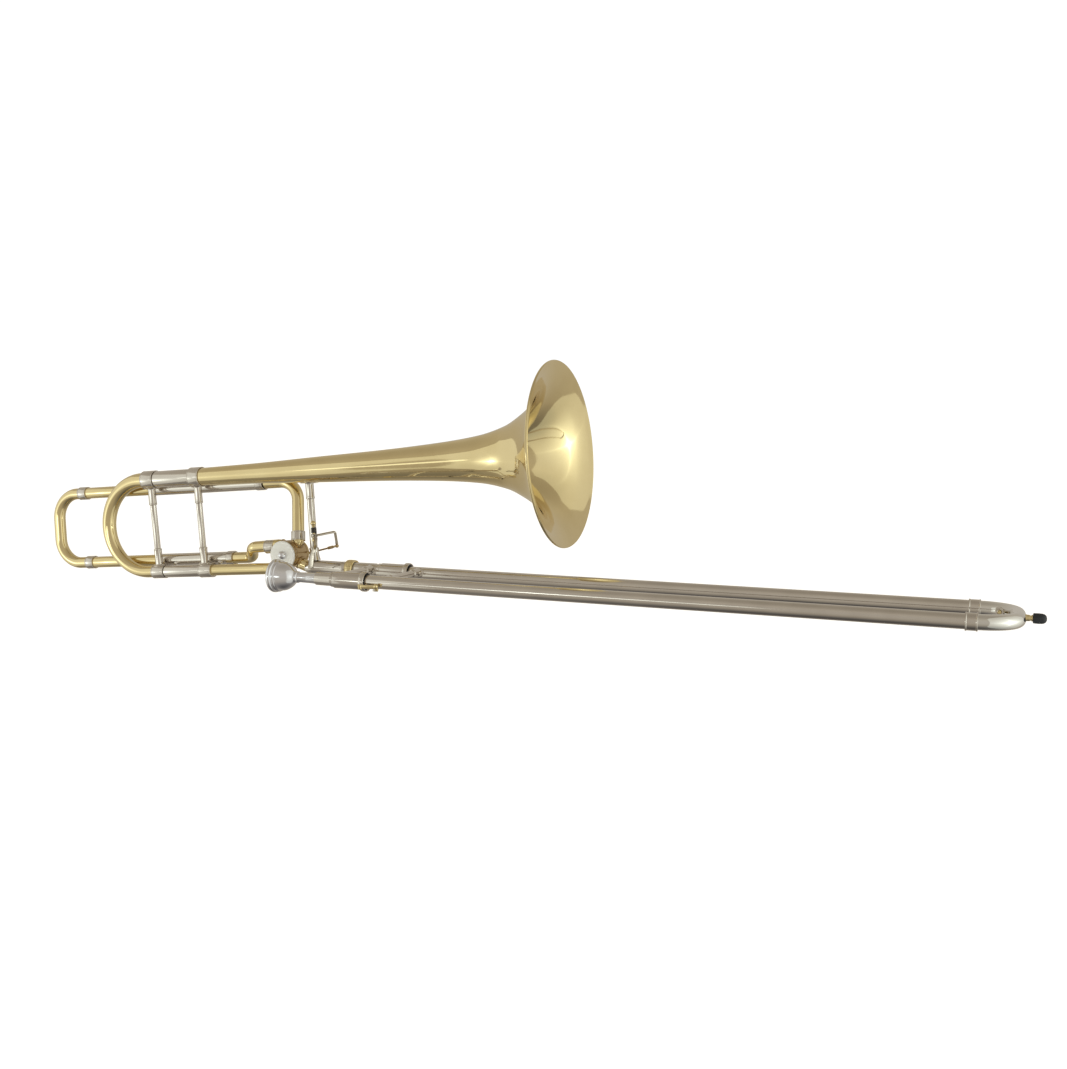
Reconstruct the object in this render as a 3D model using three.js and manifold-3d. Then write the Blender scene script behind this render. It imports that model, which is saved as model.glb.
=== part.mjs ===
// A tenor trombone with an F attachment, in millimetres, +Z up.
// The hand slide lies along +X: its far tube is on the X axis and its near tube is at -Y.
// The origin is on the far tube's axis, at the back face of the nut that locks the slide to the bell section.
// The bell section stands in a group turned a few degrees about Y. In that group's own frame, X runs along
// the bell towards its mouth, and Z goes from the gooseneck line (0) up to the bell line (LINE_GAP).

import * as THREE from "three";
import { mergeVertices } from "three/addons/utils/BufferGeometryUtils.js";
import Module from "manifold-3d";

const wasm = await Module();
wasm.setup();

// ---------------------------------------------------------------- driving dimensions

const WALL = 0.8; // thickness of the tube and sheet metal
const GAP = 0.3; // clearance left where one piece fits in or on another
const SEGMENTS = 14; // sides of a round tube
const BEND_STEP = THREE.MathUtils.degToRad(23); // longest step round a bend

const SLIDE_SPACING = 96; // between the axes of the two slide tubes
const BELL_ANGLE = THREE.MathUtils.degToRad(4.38); // bell line against the slide
const BELL_LIFT = 3; // gooseneck line above the slide axis at the lock nut
const LINE_GAP = 122.7; // gooseneck line to bell line

const BELL_RIM_X = 294;
const BELL_RIM_RADIUS = 107.95; // an 8.5 inch bell
const RIM_BEAD_RADIUS = 1.5;

const TUBE_OUTER = 7.7; // outer slide tube
const TUBE_INNER = 7.1; // inner slide tube's outside
const BARREL_RADIUS = 9.8;
const BARREL_BORE = 8.6;
const RING_RADIUS = 11.7;
const NEAR_RING_X = 75.9;
const FAR_RING_X = 80.6;
const RING_LENGTH = 6.8;
const BRACE_LIFT = 2.3; // braces of the hand slide above the tubes' axes
const BOW_FERRULE_X = 727.5;
const BOW_FERRULE_LENGTH = 11.5;
const END_BOW_REACH = 774; // centre line of the end bow at its far end
const END_BOW_BEND = 35;
const BUMPER_END_X = 800;

const GOOSENECK_RADIUS = 7.3;
const LOWER_SLEEVE_RADIUS = 8.3;
const UPPER_SLEEVE_RADIUS = 11.1;
const TUNING_BOW_X = -307; // where the tuning bow's bend begins
const UPPER_SLEEVE_X = -282.1; // left ends of the two main sleeves
const LOWER_SLEEVE_X = -277.9;

const F_RADIUS = 7.6; // F attachment tubing
const F_SLEEVE_RADIUS = 8.5;
const F_UPPER = { y: 19, z: 109.7 };
const F_LOWER = { y: 16.5, z: 13.9 };
const F_BOW_REACH = -471; // centre line of the F tuning bow at its far end
const F_BOW_BEND = 34;

const VALVE_X = -81.7; // rotor axis, in the bell section's frame
const VALVE_Z = 18.3;
const ROTOR_RADIUS = 15;
const CASING_RADIUS = 17.6;
const CASING_FRONT_Y = -17;
const CASING_BACK_Y = 13;
const PORT_Y = -1;
const PORT_BORE = 5.6;
const PORT_ANGLES = { fOutlet: 140, fInlet: 50, receiver: -40, gooseneck: -130 };

// ---------------------------------------------------------------- materials

const BRASS = { color: 0xd3bd78, roughness: 0.24, metalness: 1 };
const NICKEL = { color: 0xb3a999, roughness: 0.26, metalness: 1 };
const SILVER = { color: 0xd5d9e2, roughness: 0.22, metalness: 1 };
const CHROME = { color: 0xe9ecee, roughness: 0.08, metalness: 1 };
const SATIN = { color: 0xdcdcd6, roughness: 0.6, metalness: 0.7 };
const STEEL = { color: 0x54504c, roughness: 0.4, metalness: 1 };
const RUBBER = { color: 0x1d2024, roughness: 0.75, metalness: 0 };

const root = new THREE.Group();
const bellSection = new THREE.Group();
bellSection.position.z = BELL_LIFT;
bellSection.rotation.y = -BELL_ANGLE;
root.add(bellSection);

function add(group, name, geometry, look) {
  const mesh = new THREE.Mesh(geometry, new THREE.MeshStandardMaterial(look));
  mesh.name = name;
  group.add(mesh);
  return mesh;
}

// ---------------------------------------------------------------- geometry helpers

// A body turned about the X axis from [x, radius] points, which start and end on the axis or close.
function turned(points, segments = SEGMENTS) {
  const profile = points.map(([x, radius]) => new THREE.Vector2(radius, x));
  return new THREE.LatheGeometry(profile, segments).rotateZ(-Math.PI / 2);
}

// A straight round tube along X.
function tube(start, end, outer, inner, segments = SEGMENTS) {
  const walls = [
    [start, inner],
    [start, outer],
    [end, outer],
    [end, inner],
    [start, inner],
  ];
  return turned(walls, segments);
}

// A ring with a raised bead at each end, as on a slide ferrule.
function beadedTube(start, end, outer, inner, bead) {
  const width = 1.6;
  return turned([
    [start, inner],
    [start, outer + bead],
    [start + width, outer + bead],
    [start + width + bead, outer],
    [end - width - bead, outer],
    [end - width, outer + bead],
    [end, outer + bead],
    [end, inner],
    [start, inner],
  ]);
}

// A straight rod between two points, with an optional radius at each station along it.
function rodBetween(from, to, stations, segments = 14) {
  const along = new THREE.Vector3().subVectors(to, from);
  const length = along.length();
  const outline = stations.map(([share, radius]) => [share * length, radius]);
  const points = [[0, 0], ...outline, [length, 0]];
  const turn = new THREE.Quaternion().setFromUnitVectors(
    new THREE.Vector3(1, 0, 0),
    along.normalize(),
  );
  return turned(points, segments).applyQuaternion(turn).translate(from.x, from.y, from.z);
}

function vec(x, y, z) {
  return new THREE.Vector3(x, y, z);
}

// A circular arc in space, from one tangent direction to another.
class Arc extends THREE.Curve {
  constructor(centre, start, tangent, radius, angle) {
    super();
    Object.assign(this, { centre, start, tangent, radius, angle });
  }
  getPoint(t, target = new THREE.Vector3()) {
    const turn = t * this.angle;
    return target
      .copy(this.centre)
      .addScaledVector(this.start, this.radius * Math.cos(turn))
      .addScaledVector(this.tangent, this.radius * Math.sin(turn));
  }
}

// A path made of straight runs and arcs. A straight run is one step, and an arc as many as its angle needs.
class Route extends THREE.Curve {
  constructor(pieces) {
    super();
    this.pieces = pieces;
    this.steps = pieces.reduce((sum, piece) => sum + piece.steps, 0);
  }
  locate(u) {
    let rest = u * this.steps;
    let index = 0;
    while (index < this.pieces.length - 1 && rest > this.pieces[index].steps) {
      rest -= this.pieces[index].steps;
      index += 1;
    }
    const { curve, steps } = this.pieces[index];
    return [curve, Math.min(rest / steps, 1)];
  }
  getPointAt(u, target) {
    const [curve, t] = this.locate(u);
    return curve.getPoint(t, target);
  }
  getTangentAt(u, target) {
    const [curve, t] = this.locate(u);
    return curve.getTangent(t, target);
  }
}

// A route through the corners given, with one bend radius for each inner corner.
function route(corners, bends) {
  const pieces = [];
  let from = corners[0];
  const runTo = (point) => {
    if (from.distanceTo(point) < 0.05) return;
    pieces.push({ curve: new THREE.LineCurve3(from, point), steps: 1 });
  };
  for (let i = 1; i < corners.length - 1; i += 1) {
    const into = new THREE.Vector3().subVectors(corners[i], corners[i - 1]).normalize();
    const out = new THREE.Vector3().subVectors(corners[i + 1], corners[i]).normalize();
    const angle = into.angleTo(out);
    const radius = bends[i - 1];
    const setback = radius * Math.tan(angle / 2);
    const bendStart = corners[i].clone().addScaledVector(into, -setback);
    const side = out.clone().addScaledVector(into, -out.dot(into)).normalize();
    const centre = bendStart.clone().addScaledVector(side, radius);
    runTo(bendStart);
    const arc = new Arc(centre, side.negate(), into, radius, angle);
    pieces.push({ curve: arc, steps: Math.ceil(angle / BEND_STEP) });
    from = corners[i].clone().addScaledVector(out, setback);
  }
  runTo(corners[corners.length - 1]);
  return new Route(pieces);
}

// A round pipe along a path. inner = 0 gives a solid bar, and endScale tapers it evenly along the path.
function pipe(path, outer, inner, endScale = 1, segments = SEGMENTS, steps = path.steps) {
  const section = new THREE.Shape().absarc(0, 0, outer, 0, 2 * Math.PI);
  if (inner > 0) section.holes.push(new THREE.Path().absarc(0, 0, inner, 0, 2 * Math.PI, true));
  const geometry = new THREE.ExtrudeGeometry(section, {
    extrudePath: path,
    steps,
    curveSegments: segments / 2,
    bevelEnabled: false,
  });
  if (endScale !== 1) taper(geometry, path.getSpacedPoints(steps), endScale);
  return geometry;
}

// Scales each section of a pipe about its own centre.
function taper(geometry, centres, endScale) {
  const positions = geometry.getAttribute("position");
  const vertex = new THREE.Vector3();
  for (let i = 0; i < positions.count; i += 1) {
    vertex.fromBufferAttribute(positions, i);
    const distances = centres.map((centre) => centre.distanceToSquared(vertex));
    const nearest = distances.indexOf(Math.min(...distances));
    const scale = 1 + ((endScale - 1) * nearest) / (centres.length - 1);
    vertex.sub(centres[nearest]).multiplyScalar(scale).add(centres[nearest]);
    positions.setXYZ(i, vertex.x, vertex.y, vertex.z);
  }
}

// Turns a geometry into a manifold-3d solid.
function toSolid(geometry) {
  const bare = geometry.clone();
  bare.deleteAttribute("normal");
  bare.deleteAttribute("uv");
  const merged = mergeVertices(bare, 1e-4);
  const mesh = new wasm.Mesh({
    numProp: 3,
    vertProperties: merged.attributes.position.array,
    triVerts: new Uint32Array(merged.index.array),
  });
  return new wasm.Manifold(mesh);
}

function toGeometry(solid) {
  const mesh = solid.getMesh();
  return new THREE.BufferGeometry()
    .setAttribute("position", new THREE.BufferAttribute(mesh.vertProperties, 3))
    .setIndex(new THREE.BufferAttribute(mesh.triVerts, 1));
}

function join(...geometries) {
  return toGeometry(geometries.map(toSolid).reduce((whole, piece) => whole.add(piece)));
}

function cut(geometry, ...tools) {
  return toGeometry(tools.map(toSolid).reduce((left, tool) => left.subtract(tool), toSolid(geometry)));
}

// Offsets an outside profile of [x, radius] points inwards by the wall thickness.
function insideOf(points, wall) {
  return points.map(([x, radius], i) => {
    const [x0, r0] = points[Math.max(i - 1, 0)];
    const [x1, r1] = points[Math.min(i + 1, points.length - 1)];
    const length = Math.hypot(x1 - x0, r1 - r0);
    return [x + (wall * (r1 - r0)) / length, radius - (wall * (x1 - x0)) / length];
  });
}

// ---------------------------------------------------------------- bell section: the bell line

const BELL_PROFILE = [
  [-217, 11.4],
  [-130, 12.9],
  [-30, 16.2],
  [60, 19],
  [140, 23.2],
  [190, 28.3],
  [225, 37],
  [250, 50],
  [268, 63.5],
  [281, 79],
  [289.5, 97],
];

function bell() {
  const inside = insideOf(BELL_PROFILE, WALL).reverse();
  const bead = [];
  const beadX = BELL_RIM_X - RIM_BEAD_RADIUS;
  const beadR = BELL_RIM_RADIUS - RIM_BEAD_RADIUS;
  for (let angle = 200; angle >= -70; angle -= 54) {
    const turn = THREE.MathUtils.degToRad(angle);
    bead.push([
      beadX + RIM_BEAD_RADIUS * Math.cos(turn),
      beadR + RIM_BEAD_RADIUS * Math.sin(turn),
    ]);
  }
  const points = [...BELL_PROFILE, ...bead, ...inside, BELL_PROFILE[0]];
  return turned(points, 32).translate(0, 0, LINE_GAP);
}

function bellLine() {
  const lift = (geometry) => geometry.translate(0, 0, LINE_GAP);
  add(bellSection, "bell", bell(), BRASS);
  const ferrule = tube(-225.6, -208.7, 13, 11.9);
  add(bellSection, "bell_ferrule", lift(ferrule), NICKEL);
  const sleeve = tube(UPPER_SLEEVE_X, -217.6, UPPER_SLEEVE_RADIUS, UPPER_SLEEVE_RADIUS - WALL);
  add(bellSection, "bell_sleeve", lift(sleeve), NICKEL);
}

// ---------------------------------------------------------------- bell section: the gooseneck line

function port(angle, distance) {
  const turn = THREE.MathUtils.degToRad(angle);
  return vec(VALVE_X + distance * Math.cos(turn), PORT_Y, VALVE_Z + distance * Math.sin(turn));
}

function gooseneckLine() {
  const bore = LOWER_SLEEVE_RADIUS - WALL;
  const sleeve = tube(LOWER_SLEEVE_X, -212, LOWER_SLEEVE_RADIUS, bore);
  add(bellSection, "gooseneck_sleeve", sleeve, NICKEL);
  add(bellSection, "gooseneck_ferrule", tube(-221.9, -202.6, 9.5, 8.6), NICKEL);
  const path = route(
    [
      vec(-211.5, 0, 0),
      vec(-120, 0, 0),
      port(PORT_ANGLES.gooseneck, 23.5),
      port(PORT_ANGLES.gooseneck, 15),
    ],
    [60, 16],
  );
  const gooseneck = pipe(path, GOOSENECK_RADIUS, GOOSENECK_RADIUS - WALL);
  add(bellSection, "gooseneck", cut(gooseneck, valveSpace()), BRASS);
}

// The room that the valve takes out of the tubes that meet it.
function valveSpace() {
  return new THREE.CylinderGeometry(
    CASING_RADIUS + GAP,
    CASING_RADIUS + GAP,
    CASING_BACK_Y - CASING_FRONT_Y + 20,
    36,
  ).translate(VALVE_X, 0, VALVE_Z);
}

// ---------------------------------------------------------------- braces of the bell section

// A round brace between the two main lines, with a thicker socket at each end. Its ends are cut to the
// ferrules that it is soldered to.
function lineBrace(bottomX, topX, bottomRadius, topRadius) {
  const rodRadius = 3.6;
  const socketRadius = 4.6;
  const socketShare = 0.24;
  const step = 0.01;
  const body = rodBetween(vec(bottomX, 0, 4), vec(topX, 0, LINE_GAP - 4), [
    [0, socketRadius],
    [socketShare, socketRadius],
    [socketShare + step, rodRadius],
    [1 - socketShare - step, rodRadius],
    [1 - socketShare, socketRadius],
    [1, socketRadius],
  ]);
  const bottomTube = bar(bottomX - 30, bottomX + 30, bottomRadius + GAP, 0);
  const topTube = bar(topX - 30, topX + 30, topRadius + GAP, LINE_GAP);
  return cut(body, bottomTube, topTube);
}

function bar(start, end, radius, z) {
  return turned([
    [start, 0],
    [start, radius],
    [end, radius],
    [end, 0],
  ]).translate(0, 0, z);
}

function bellBrace() {
  add(bellSection, "bell_brace", lineBrace(-216, -218.4, 9.5, 13), NICKEL);
}

// The thick brace by the left hand, with a diamond foot on the bell and a flared foot on the receiver.
const HAND_BRACE_X = -47.3;

function handBrace() {
  const from = vec(HAND_BRACE_X, 0, 4);
  const to = vec(HAND_BRACE_X, 0, LINE_GAP - 12);
  const body = rodBetween(from, to, [
    [0, 7.5],
    [0.06, 6.2],
    [0.2, 5.6],
    [0.21, 4.6],
    [0.78, 4.6],
    [0.79, 5.4],
    [1, 5.4],
  ]);
  const foot = new THREE.CylinderGeometry(12, 12, 12, 4)
    .rotateX(Math.PI / 2)
    .scale(1.15, 0.8, 1)
    .translate(HAND_BRACE_X, 0, LINE_GAP - 15);
  const bellSkin = turned([
    [-130, 0],
    [-130, 12.9 + GAP],
    [-30, 16.3 + GAP],
    [60, 19.2 + GAP],
    [60, 0],
  ], 32).translate(0, 0, LINE_GAP);
  const footSkin = turned([
    [-130, 0],
    [-130, 12.9 + 1.8],
    [-30, 16.2 + 1.8],
    [60, 19 + 1.8],
    [60, 0],
  ]).translate(0, 0, LINE_GAP);
  const thinFoot = toGeometry(toSolid(foot).intersect(toSolid(footSkin)));
  const receiverSpace = turned([
    [-100, 0],
    [-100, 9.2],
    [20, 9.2],
    [20, 0],
  ])
    .rotateY(BELL_ANGLE)
    .translate(0, 0, -BELL_LIFT);
  add(bellSection, "hand_brace", cut(join(body, thinFoot), bellSkin, receiverSpace), NICKEL);
}

// ---------------------------------------------------------------- rotary valve

const STOP_ARM_Y = CASING_BACK_Y + 3;
const STOP_ARM_LENGTH = 12;
const STOP_ARM_REST = -8; // degrees, in the bell section's frame

function aboutValve(geometry) {
  return geometry.translate(VALVE_X, 0, VALVE_Z);
}

// A body turned about the rotor's axis, from [y, radius] points.
function turnedAboutY(points, segments = 30) {
  const profile = points.map(([y, radius]) => new THREE.Vector2(radius, y));
  return new THREE.LatheGeometry(profile, segments);
}

// A short straight bore through the casing wall at one port.
function portBore(angle, radius, from, to) {
  return new THREE.CylinderGeometry(radius, radius, to - from, 20)
    .rotateZ(Math.PI / 2)
    .translate((from + to) / 2, 0, 0)
    .rotateY(-THREE.MathUtils.degToRad(angle))
    .translate(0, PORT_Y, 0);
}

function valve() {
  const bore = ROTOR_RADIUS + GAP;
  const shell = turnedAboutY([
    [bore, CASING_FRONT_Y],
    [CASING_RADIUS, CASING_FRONT_Y],
    [CASING_RADIUS, CASING_BACK_Y],
    [bore, CASING_BACK_Y],
    [bore, CASING_FRONT_Y],
  ].map(([radius, y]) => [y, radius]));
  const bores = Object.values(PORT_ANGLES).map((angle) => portBore(angle, 6.5, 8, 24));
  add(bellSection, "valve_casing", aboutValve(cut(shell, ...bores)), BRASS);

  const cap = turnedAboutY([
    [CASING_FRONT_Y - 3.2, 0],
    [CASING_FRONT_Y - 3.2, 17.4],
    [CASING_FRONT_Y - 2.6, 18.2],
    [CASING_FRONT_Y + 4, 18.2],
    [CASING_FRONT_Y + 4, CASING_RADIUS + GAP],
    [CASING_FRONT_Y - GAP, CASING_RADIUS + GAP],
    [CASING_FRONT_Y - GAP, 0],
  ]);
  const boss = new THREE.SphereGeometry(5.6, 12, 8).translate(0, CASING_FRONT_Y - 5.2, 0);
  add(bellSection, "valve_cap", aboutValve(join(cap, boss)), SATIN);

  const plate = turnedAboutY([
    [CASING_BACK_Y - 4, 3.3],
    [CASING_BACK_Y - 4, ROTOR_RADIUS],
    [CASING_BACK_Y + GAP, ROTOR_RADIUS],
    [CASING_BACK_Y + GAP, CASING_RADIUS],
    [CASING_BACK_Y + 1.8, CASING_RADIUS],
    [CASING_BACK_Y + 1.8, 3.3],
    [CASING_BACK_Y - 4, 3.3],
  ]);
  add(bellSection, "valve_back_plate", aboutValve(join(plate, ...stopCorks())), BRASS);
  rotor();
}

// Two cork bumpers on the back plate, which stop the arm at each end of its quarter turn.
function stopCorks() {
  return [STOP_ARM_REST + 30, STOP_ARM_REST - 120].map((angle) => {
    const turn = THREE.MathUtils.degToRad(angle);
    return new THREE.CylinderGeometry(2, 2, 5, 10).translate(
      9 * Math.cos(turn),
      CASING_BACK_Y + 4,
      9 * Math.sin(turn),
    );
  });
}

// The rotor has two curved passages, each joining two neighbouring ports.
function rotor() {
  const front = CASING_FRONT_Y + 1;
  const back = CASING_BACK_Y - 4 - GAP;
  const body = turnedAboutY([
    [front, 0],
    [front, ROTOR_RADIUS],
    [back, ROTOR_RADIUS],
    [back, 2.9],
    [STOP_ARM_Y - 0.9, 2.9],
    [STOP_ARM_Y - 0.9, 0],
  ]);
  const passages = [PORT_ANGLES.gooseneck, PORT_ANGLES.fInlet].map((angle) => {
    const middle = THREE.MathUtils.degToRad(angle + 45);
    const towards = vec(Math.cos(middle), 0, Math.sin(middle));
    const across = vec(-Math.sin(middle), 0, Math.cos(middle));
    const corner = towards.clone().multiplyScalar(ROTOR_RADIUS * Math.SQRT2).setY(PORT_Y);
    const half = THREE.MathUtils.degToRad(65);
    const inwards = towards.clone().negate();
    const start = inwards.clone().multiplyScalar(Math.cos(half)).addScaledVector(across, Math.sin(half));
    const tangent = inwards.multiplyScalar(Math.sin(half)).addScaledVector(across, -Math.cos(half));
    const bend = new Arc(corner, start, tangent, ROTOR_RADIUS, 2 * half);
    return pipe(bend, PORT_BORE, 0, 1, 12, 8);
  });
  add(bellSection, "rotor", aboutValve(cut(body, ...passages)), BRASS);

  const hub = turnedAboutY([
    [STOP_ARM_Y - GAP, 0],
    [STOP_ARM_Y - GAP, 4.5],
    [STOP_ARM_Y + 3, 4.5],
    [STOP_ARM_Y + 3, 0],
  ], 14);
  const arm = new THREE.BoxGeometry(STOP_ARM_LENGTH, 2, 4)
    .translate(STOP_ARM_LENGTH / 2, STOP_ARM_Y + 1.5, 0)
    .rotateY(-THREE.MathUtils.degToRad(STOP_ARM_REST));
  add(bellSection, "stop_arm", aboutValve(join(hub, arm)), NICKEL);
}

// ---------------------------------------------------------------- tubes between valve and receiver

const RECEIVER_RADIUS = 8.9;
const RECEIVER_START_X = -58;
const RECEIVER_END_X = -0.4;

// A point given in the slide's frame, in the bell section's frame.
function fromSlide(x, y, z) {
  return vec(x, y, z - BELL_LIFT).applyAxisAngle(vec(0, 1, 0), BELL_ANGLE);
}

function receiver() {
  const knuckle = route(
    [
      port(PORT_ANGLES.receiver, 15),
      port(PORT_ANGLES.receiver, 20.5),
      fromSlide(RECEIVER_START_X + 1, 0, 0),
      fromSlide(RECEIVER_START_X + 8, 0, 0),
    ],
    [8.5, 8.5],
  );
  const elbow = pipe(knuckle, GOOSENECK_RADIUS, GOOSENECK_RADIUS - WALL);
  add(bellSection, "receiver_knuckle", cut(elbow, valveSpace()), BRASS);
  const shell = turned([
    [RECEIVER_START_X + 4, GOOSENECK_RADIUS + 0.4],
    [RECEIVER_START_X + 4, RECEIVER_RADIUS - 0.6],
    [RECEIVER_START_X + 6, RECEIVER_RADIUS],
    [RECEIVER_END_X, RECEIVER_RADIUS],
    [RECEIVER_END_X, GOOSENECK_RADIUS + 0.4],
    [RECEIVER_START_X + 4, GOOSENECK_RADIUS + 0.4],
  ]);
  add(root, "receiver", shell, NICKEL);
}

// ---------------------------------------------------------------- F attachment tubing

function along(line, x) {
  return vec(x, line.y, line.z);
}

function placed(geometry, line) {
  return geometry.translate(0, line.y, line.z);
}

// The F tube that rises from the valve leans back behind the bell line.
const F_RISER_FOOT = port(PORT_ANGLES.fInlet, 19.5);
const F_RISER_TOP = vec(-76.2, F_UPPER.y, F_UPPER.z);

function onRiser(height) {
  const share = (height - F_RISER_FOOT.z) / (F_RISER_TOP.z - F_RISER_FOOT.z);
  return F_RISER_FOOT.clone().lerp(F_RISER_TOP, share);
}

function fInlet() {
  const bore = F_RADIUS - WALL;
  const path = route(
    [port(PORT_ANGLES.fInlet, 15), F_RISER_FOOT, onRiser(45.6)],
    [9],
  );
  const knuckle = pipe(path, F_RADIUS - 0.4, bore - 0.4);
  const ferrule = rodTube(onRiser(34.5), onRiser(45.6), 8.7, F_RADIUS - 0.6);
  add(bellSection, "f_inlet_knuckle", cut(join(knuckle, ferrule), valveSpace()), BRASS);
  const upper = route([onRiser(46), F_RISER_TOP, along(F_UPPER, -125.4)], [28]);
  add(bellSection, "f_upper_tube", pipe(upper, F_RADIUS, bore), BRASS);
  add(bellSection, "f_upper_sleeve", placed(fSleeve(-303, -137.8, -125.9), F_UPPER), NICKEL);
}

// An outer sleeve of the F tuning slide, with the ferrule at its right end in one piece with it.
function fSleeve(start, shoulder, end) {
  const slip = F_RADIUS + 0.1;
  return turned([
    [start, slip],
    [start, F_SLEEVE_RADIUS],
    [shoulder, F_SLEEVE_RADIUS],
    [shoulder, 9.4],
    [end, 9.4],
    [end, slip],
    [start, slip],
  ]);
}

function fOutlet() {
  const bore = F_RADIUS - WALL;
  const offset = route(
    [
      port(PORT_ANGLES.fOutlet, 13),
      port(PORT_ANGLES.fOutlet, 15.4),
      vec(-141, 0, 28),
      vec(-153, F_LOWER.y, F_LOWER.z),
      along(F_LOWER, -184),
    ],
    [9, 8, 8],
  );
  const outlet = pipe(offset, F_RADIUS - 0.2, bore - 0.2);
  const outletFerrule = rodTube(vec(-117, -0.4, 28.1), vec(-103, -0.7, 28.2), 8.6, F_RADIUS - 0.6);
  add(bellSection, "f_outlet_elbow", cut(join(outlet, outletFerrule), valveSpace()), BRASS);
  add(bellSection, "f_lower_sleeve", placed(fSleeve(-296, -189, -179.2), F_LOWER), NICKEL);
}

// A tube between two points.
function rodTube(from, to, outer, inner) {
  const span = new THREE.Vector3().subVectors(to, from);
  const turn = new THREE.Quaternion().setFromUnitVectors(vec(1, 0, 0), span.clone().normalize());
  return tube(0, span.length(), outer, inner)
    .applyQuaternion(turn)
    .translate(from.x, from.y, from.z);
}

// The short cross braces that hold the F sleeves to the bell line and to the gooseneck line, two for each.
function fBraces() {
  const upper = [["rear", -274, UPPER_SLEEVE_RADIUS], ["front", -200, 12.2]];
  for (const [name, x, radius] of upper) {
    const strut = fStrut(x, F_UPPER.y, F_UPPER.z - LINE_GAP, radius).translate(0, 0, LINE_GAP);
    add(bellSection, "f_brace_upper_" + name, strut, NICKEL);
  }
  const lower = [["rear", -270, LOWER_SLEEVE_RADIUS], ["front", -199, GOOSENECK_RADIUS]];
  for (const [name, x, radius] of lower) {
    add(bellSection, "f_brace_lower_" + name, fStrut(x, F_LOWER.y, F_LOWER.z, radius), NICKEL);
  }
}

// A strut from a line on the X axis, of the given radius, to the F sleeve at (y, z).
function fStrut(x, y, z, lineRadius) {
  const strut = rodBetween(vec(x, 0, 0), vec(x, y, z), [
    [0, 3],
    [1, 3],
  ], 12);
  const line = bar(x - 10, x + 10, lineRadius + GAP, 0);
  const sleeve = placed(bar(x - 10, x + 10, F_SLEEVE_RADIUS + GAP, 0), { y, z });
  return cut(strut, line, sleeve);
}

// ---------------------------------------------------------------- main tuning slide

function tuningSlide() {
  const lowerRadius = 7.6;
  const upperRadius = 10;
  const bow = route(
    [
      vec(-296, 0, 0),
      vec(TUNING_BOW_X - LINE_GAP / 2, 0, 0),
      vec(TUNING_BOW_X - LINE_GAP / 2, 0, LINE_GAP),
      vec(-300, 0, LINE_GAP),
    ],
    [LINE_GAP / 2 - 0.01, LINE_GAP / 2 - 0.01],
  );
  const shell = pipe(bow, lowerRadius, lowerRadius - WALL, upperRadius / lowerRadius);
  add(bellSection, "tuning_bow", shell, BRASS);

  const upperFerrule = tube(-302.1, UPPER_SLEEVE_X - 0.9, 12.2, 10.9);
  add(bellSection, "tuning_ferrule_upper", upperFerrule.translate(0, 0, LINE_GAP), NICKEL);
  const lowerFerrule = tube(-298.3, LOWER_SLEEVE_X - 1, 9.2, 8.1);
  add(bellSection, "tuning_ferrule_lower", lowerFerrule, NICKEL);
  const upperLeg = tube(-299.5, -219, 10, 9.2).translate(0, 0, LINE_GAP);
  add(bellSection, "tuning_leg_upper", upperLeg, NICKEL);
  const lowerLeg = tube(-295.6, -213, 7.2, 6.4);
  add(bellSection, "tuning_leg_lower", lowerLeg, NICKEL);
  add(bellSection, "tuning_brace", lineBrace(-289.5, -293.4, 9.2, 12.2), NICKEL);
}

// ---------------------------------------------------------------- F tuning slide

function fTuningSlide() {
  const bore = F_RADIUS - WALL;
  const bow = route(
    [
      along(F_LOWER, -418),
      along(F_LOWER, F_BOW_REACH),
      along(F_UPPER, F_BOW_REACH),
      along(F_UPPER, -423.5),
    ],
    [F_BOW_BEND, F_BOW_BEND],
  );
  add(bellSection, "f_tuning_bow", pipe(bow, F_RADIUS, bore), BRASS);
  const upperFerrule = placed(tube(-430.2, -417, 8.9, F_RADIUS + GAP), F_UPPER);
  add(bellSection, "f_tuning_ferrule_upper", upperFerrule, NICKEL);
  const lowerFerrule = placed(tube(-424.4, -411.7, 8.9, F_RADIUS + GAP), F_LOWER);
  add(bellSection, "f_tuning_ferrule_lower", lowerFerrule, NICKEL);
  const upperLeg = fLeg(-423, -303.5, -136);
  add(bellSection, "f_tuning_leg_upper", placed(upperLeg, F_UPPER), BRASS);
  const lowerLeg = fLeg(-417.5, -296.5, -188);
  add(bellSection, "f_tuning_leg_lower", placed(lowerLeg, F_LOWER), BRASS);
}

// A leg of the F tuning slide: a brass tube that steps down to the thin leg inside the outer sleeve.
function fLeg(start, shoulder, end) {
  const thin = F_RADIUS - 0.3;
  return turned([
    [start, 6.4],
    [start, F_RADIUS],
    [shoulder, F_RADIUS],
    [shoulder, thin],
    [end, thin],
    [end, 6.4],
    [start, 6.4],
  ]);
}

// ---------------------------------------------------------------- thumb lever and its linkage

const HINGE = fromSlide(-40.5, -13, 41);
const CRANK_END = fromSlide(-27, 14, 44.3);
const CRANK_FOOT = fromSlide(-24.7, 14.3, 30);

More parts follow.
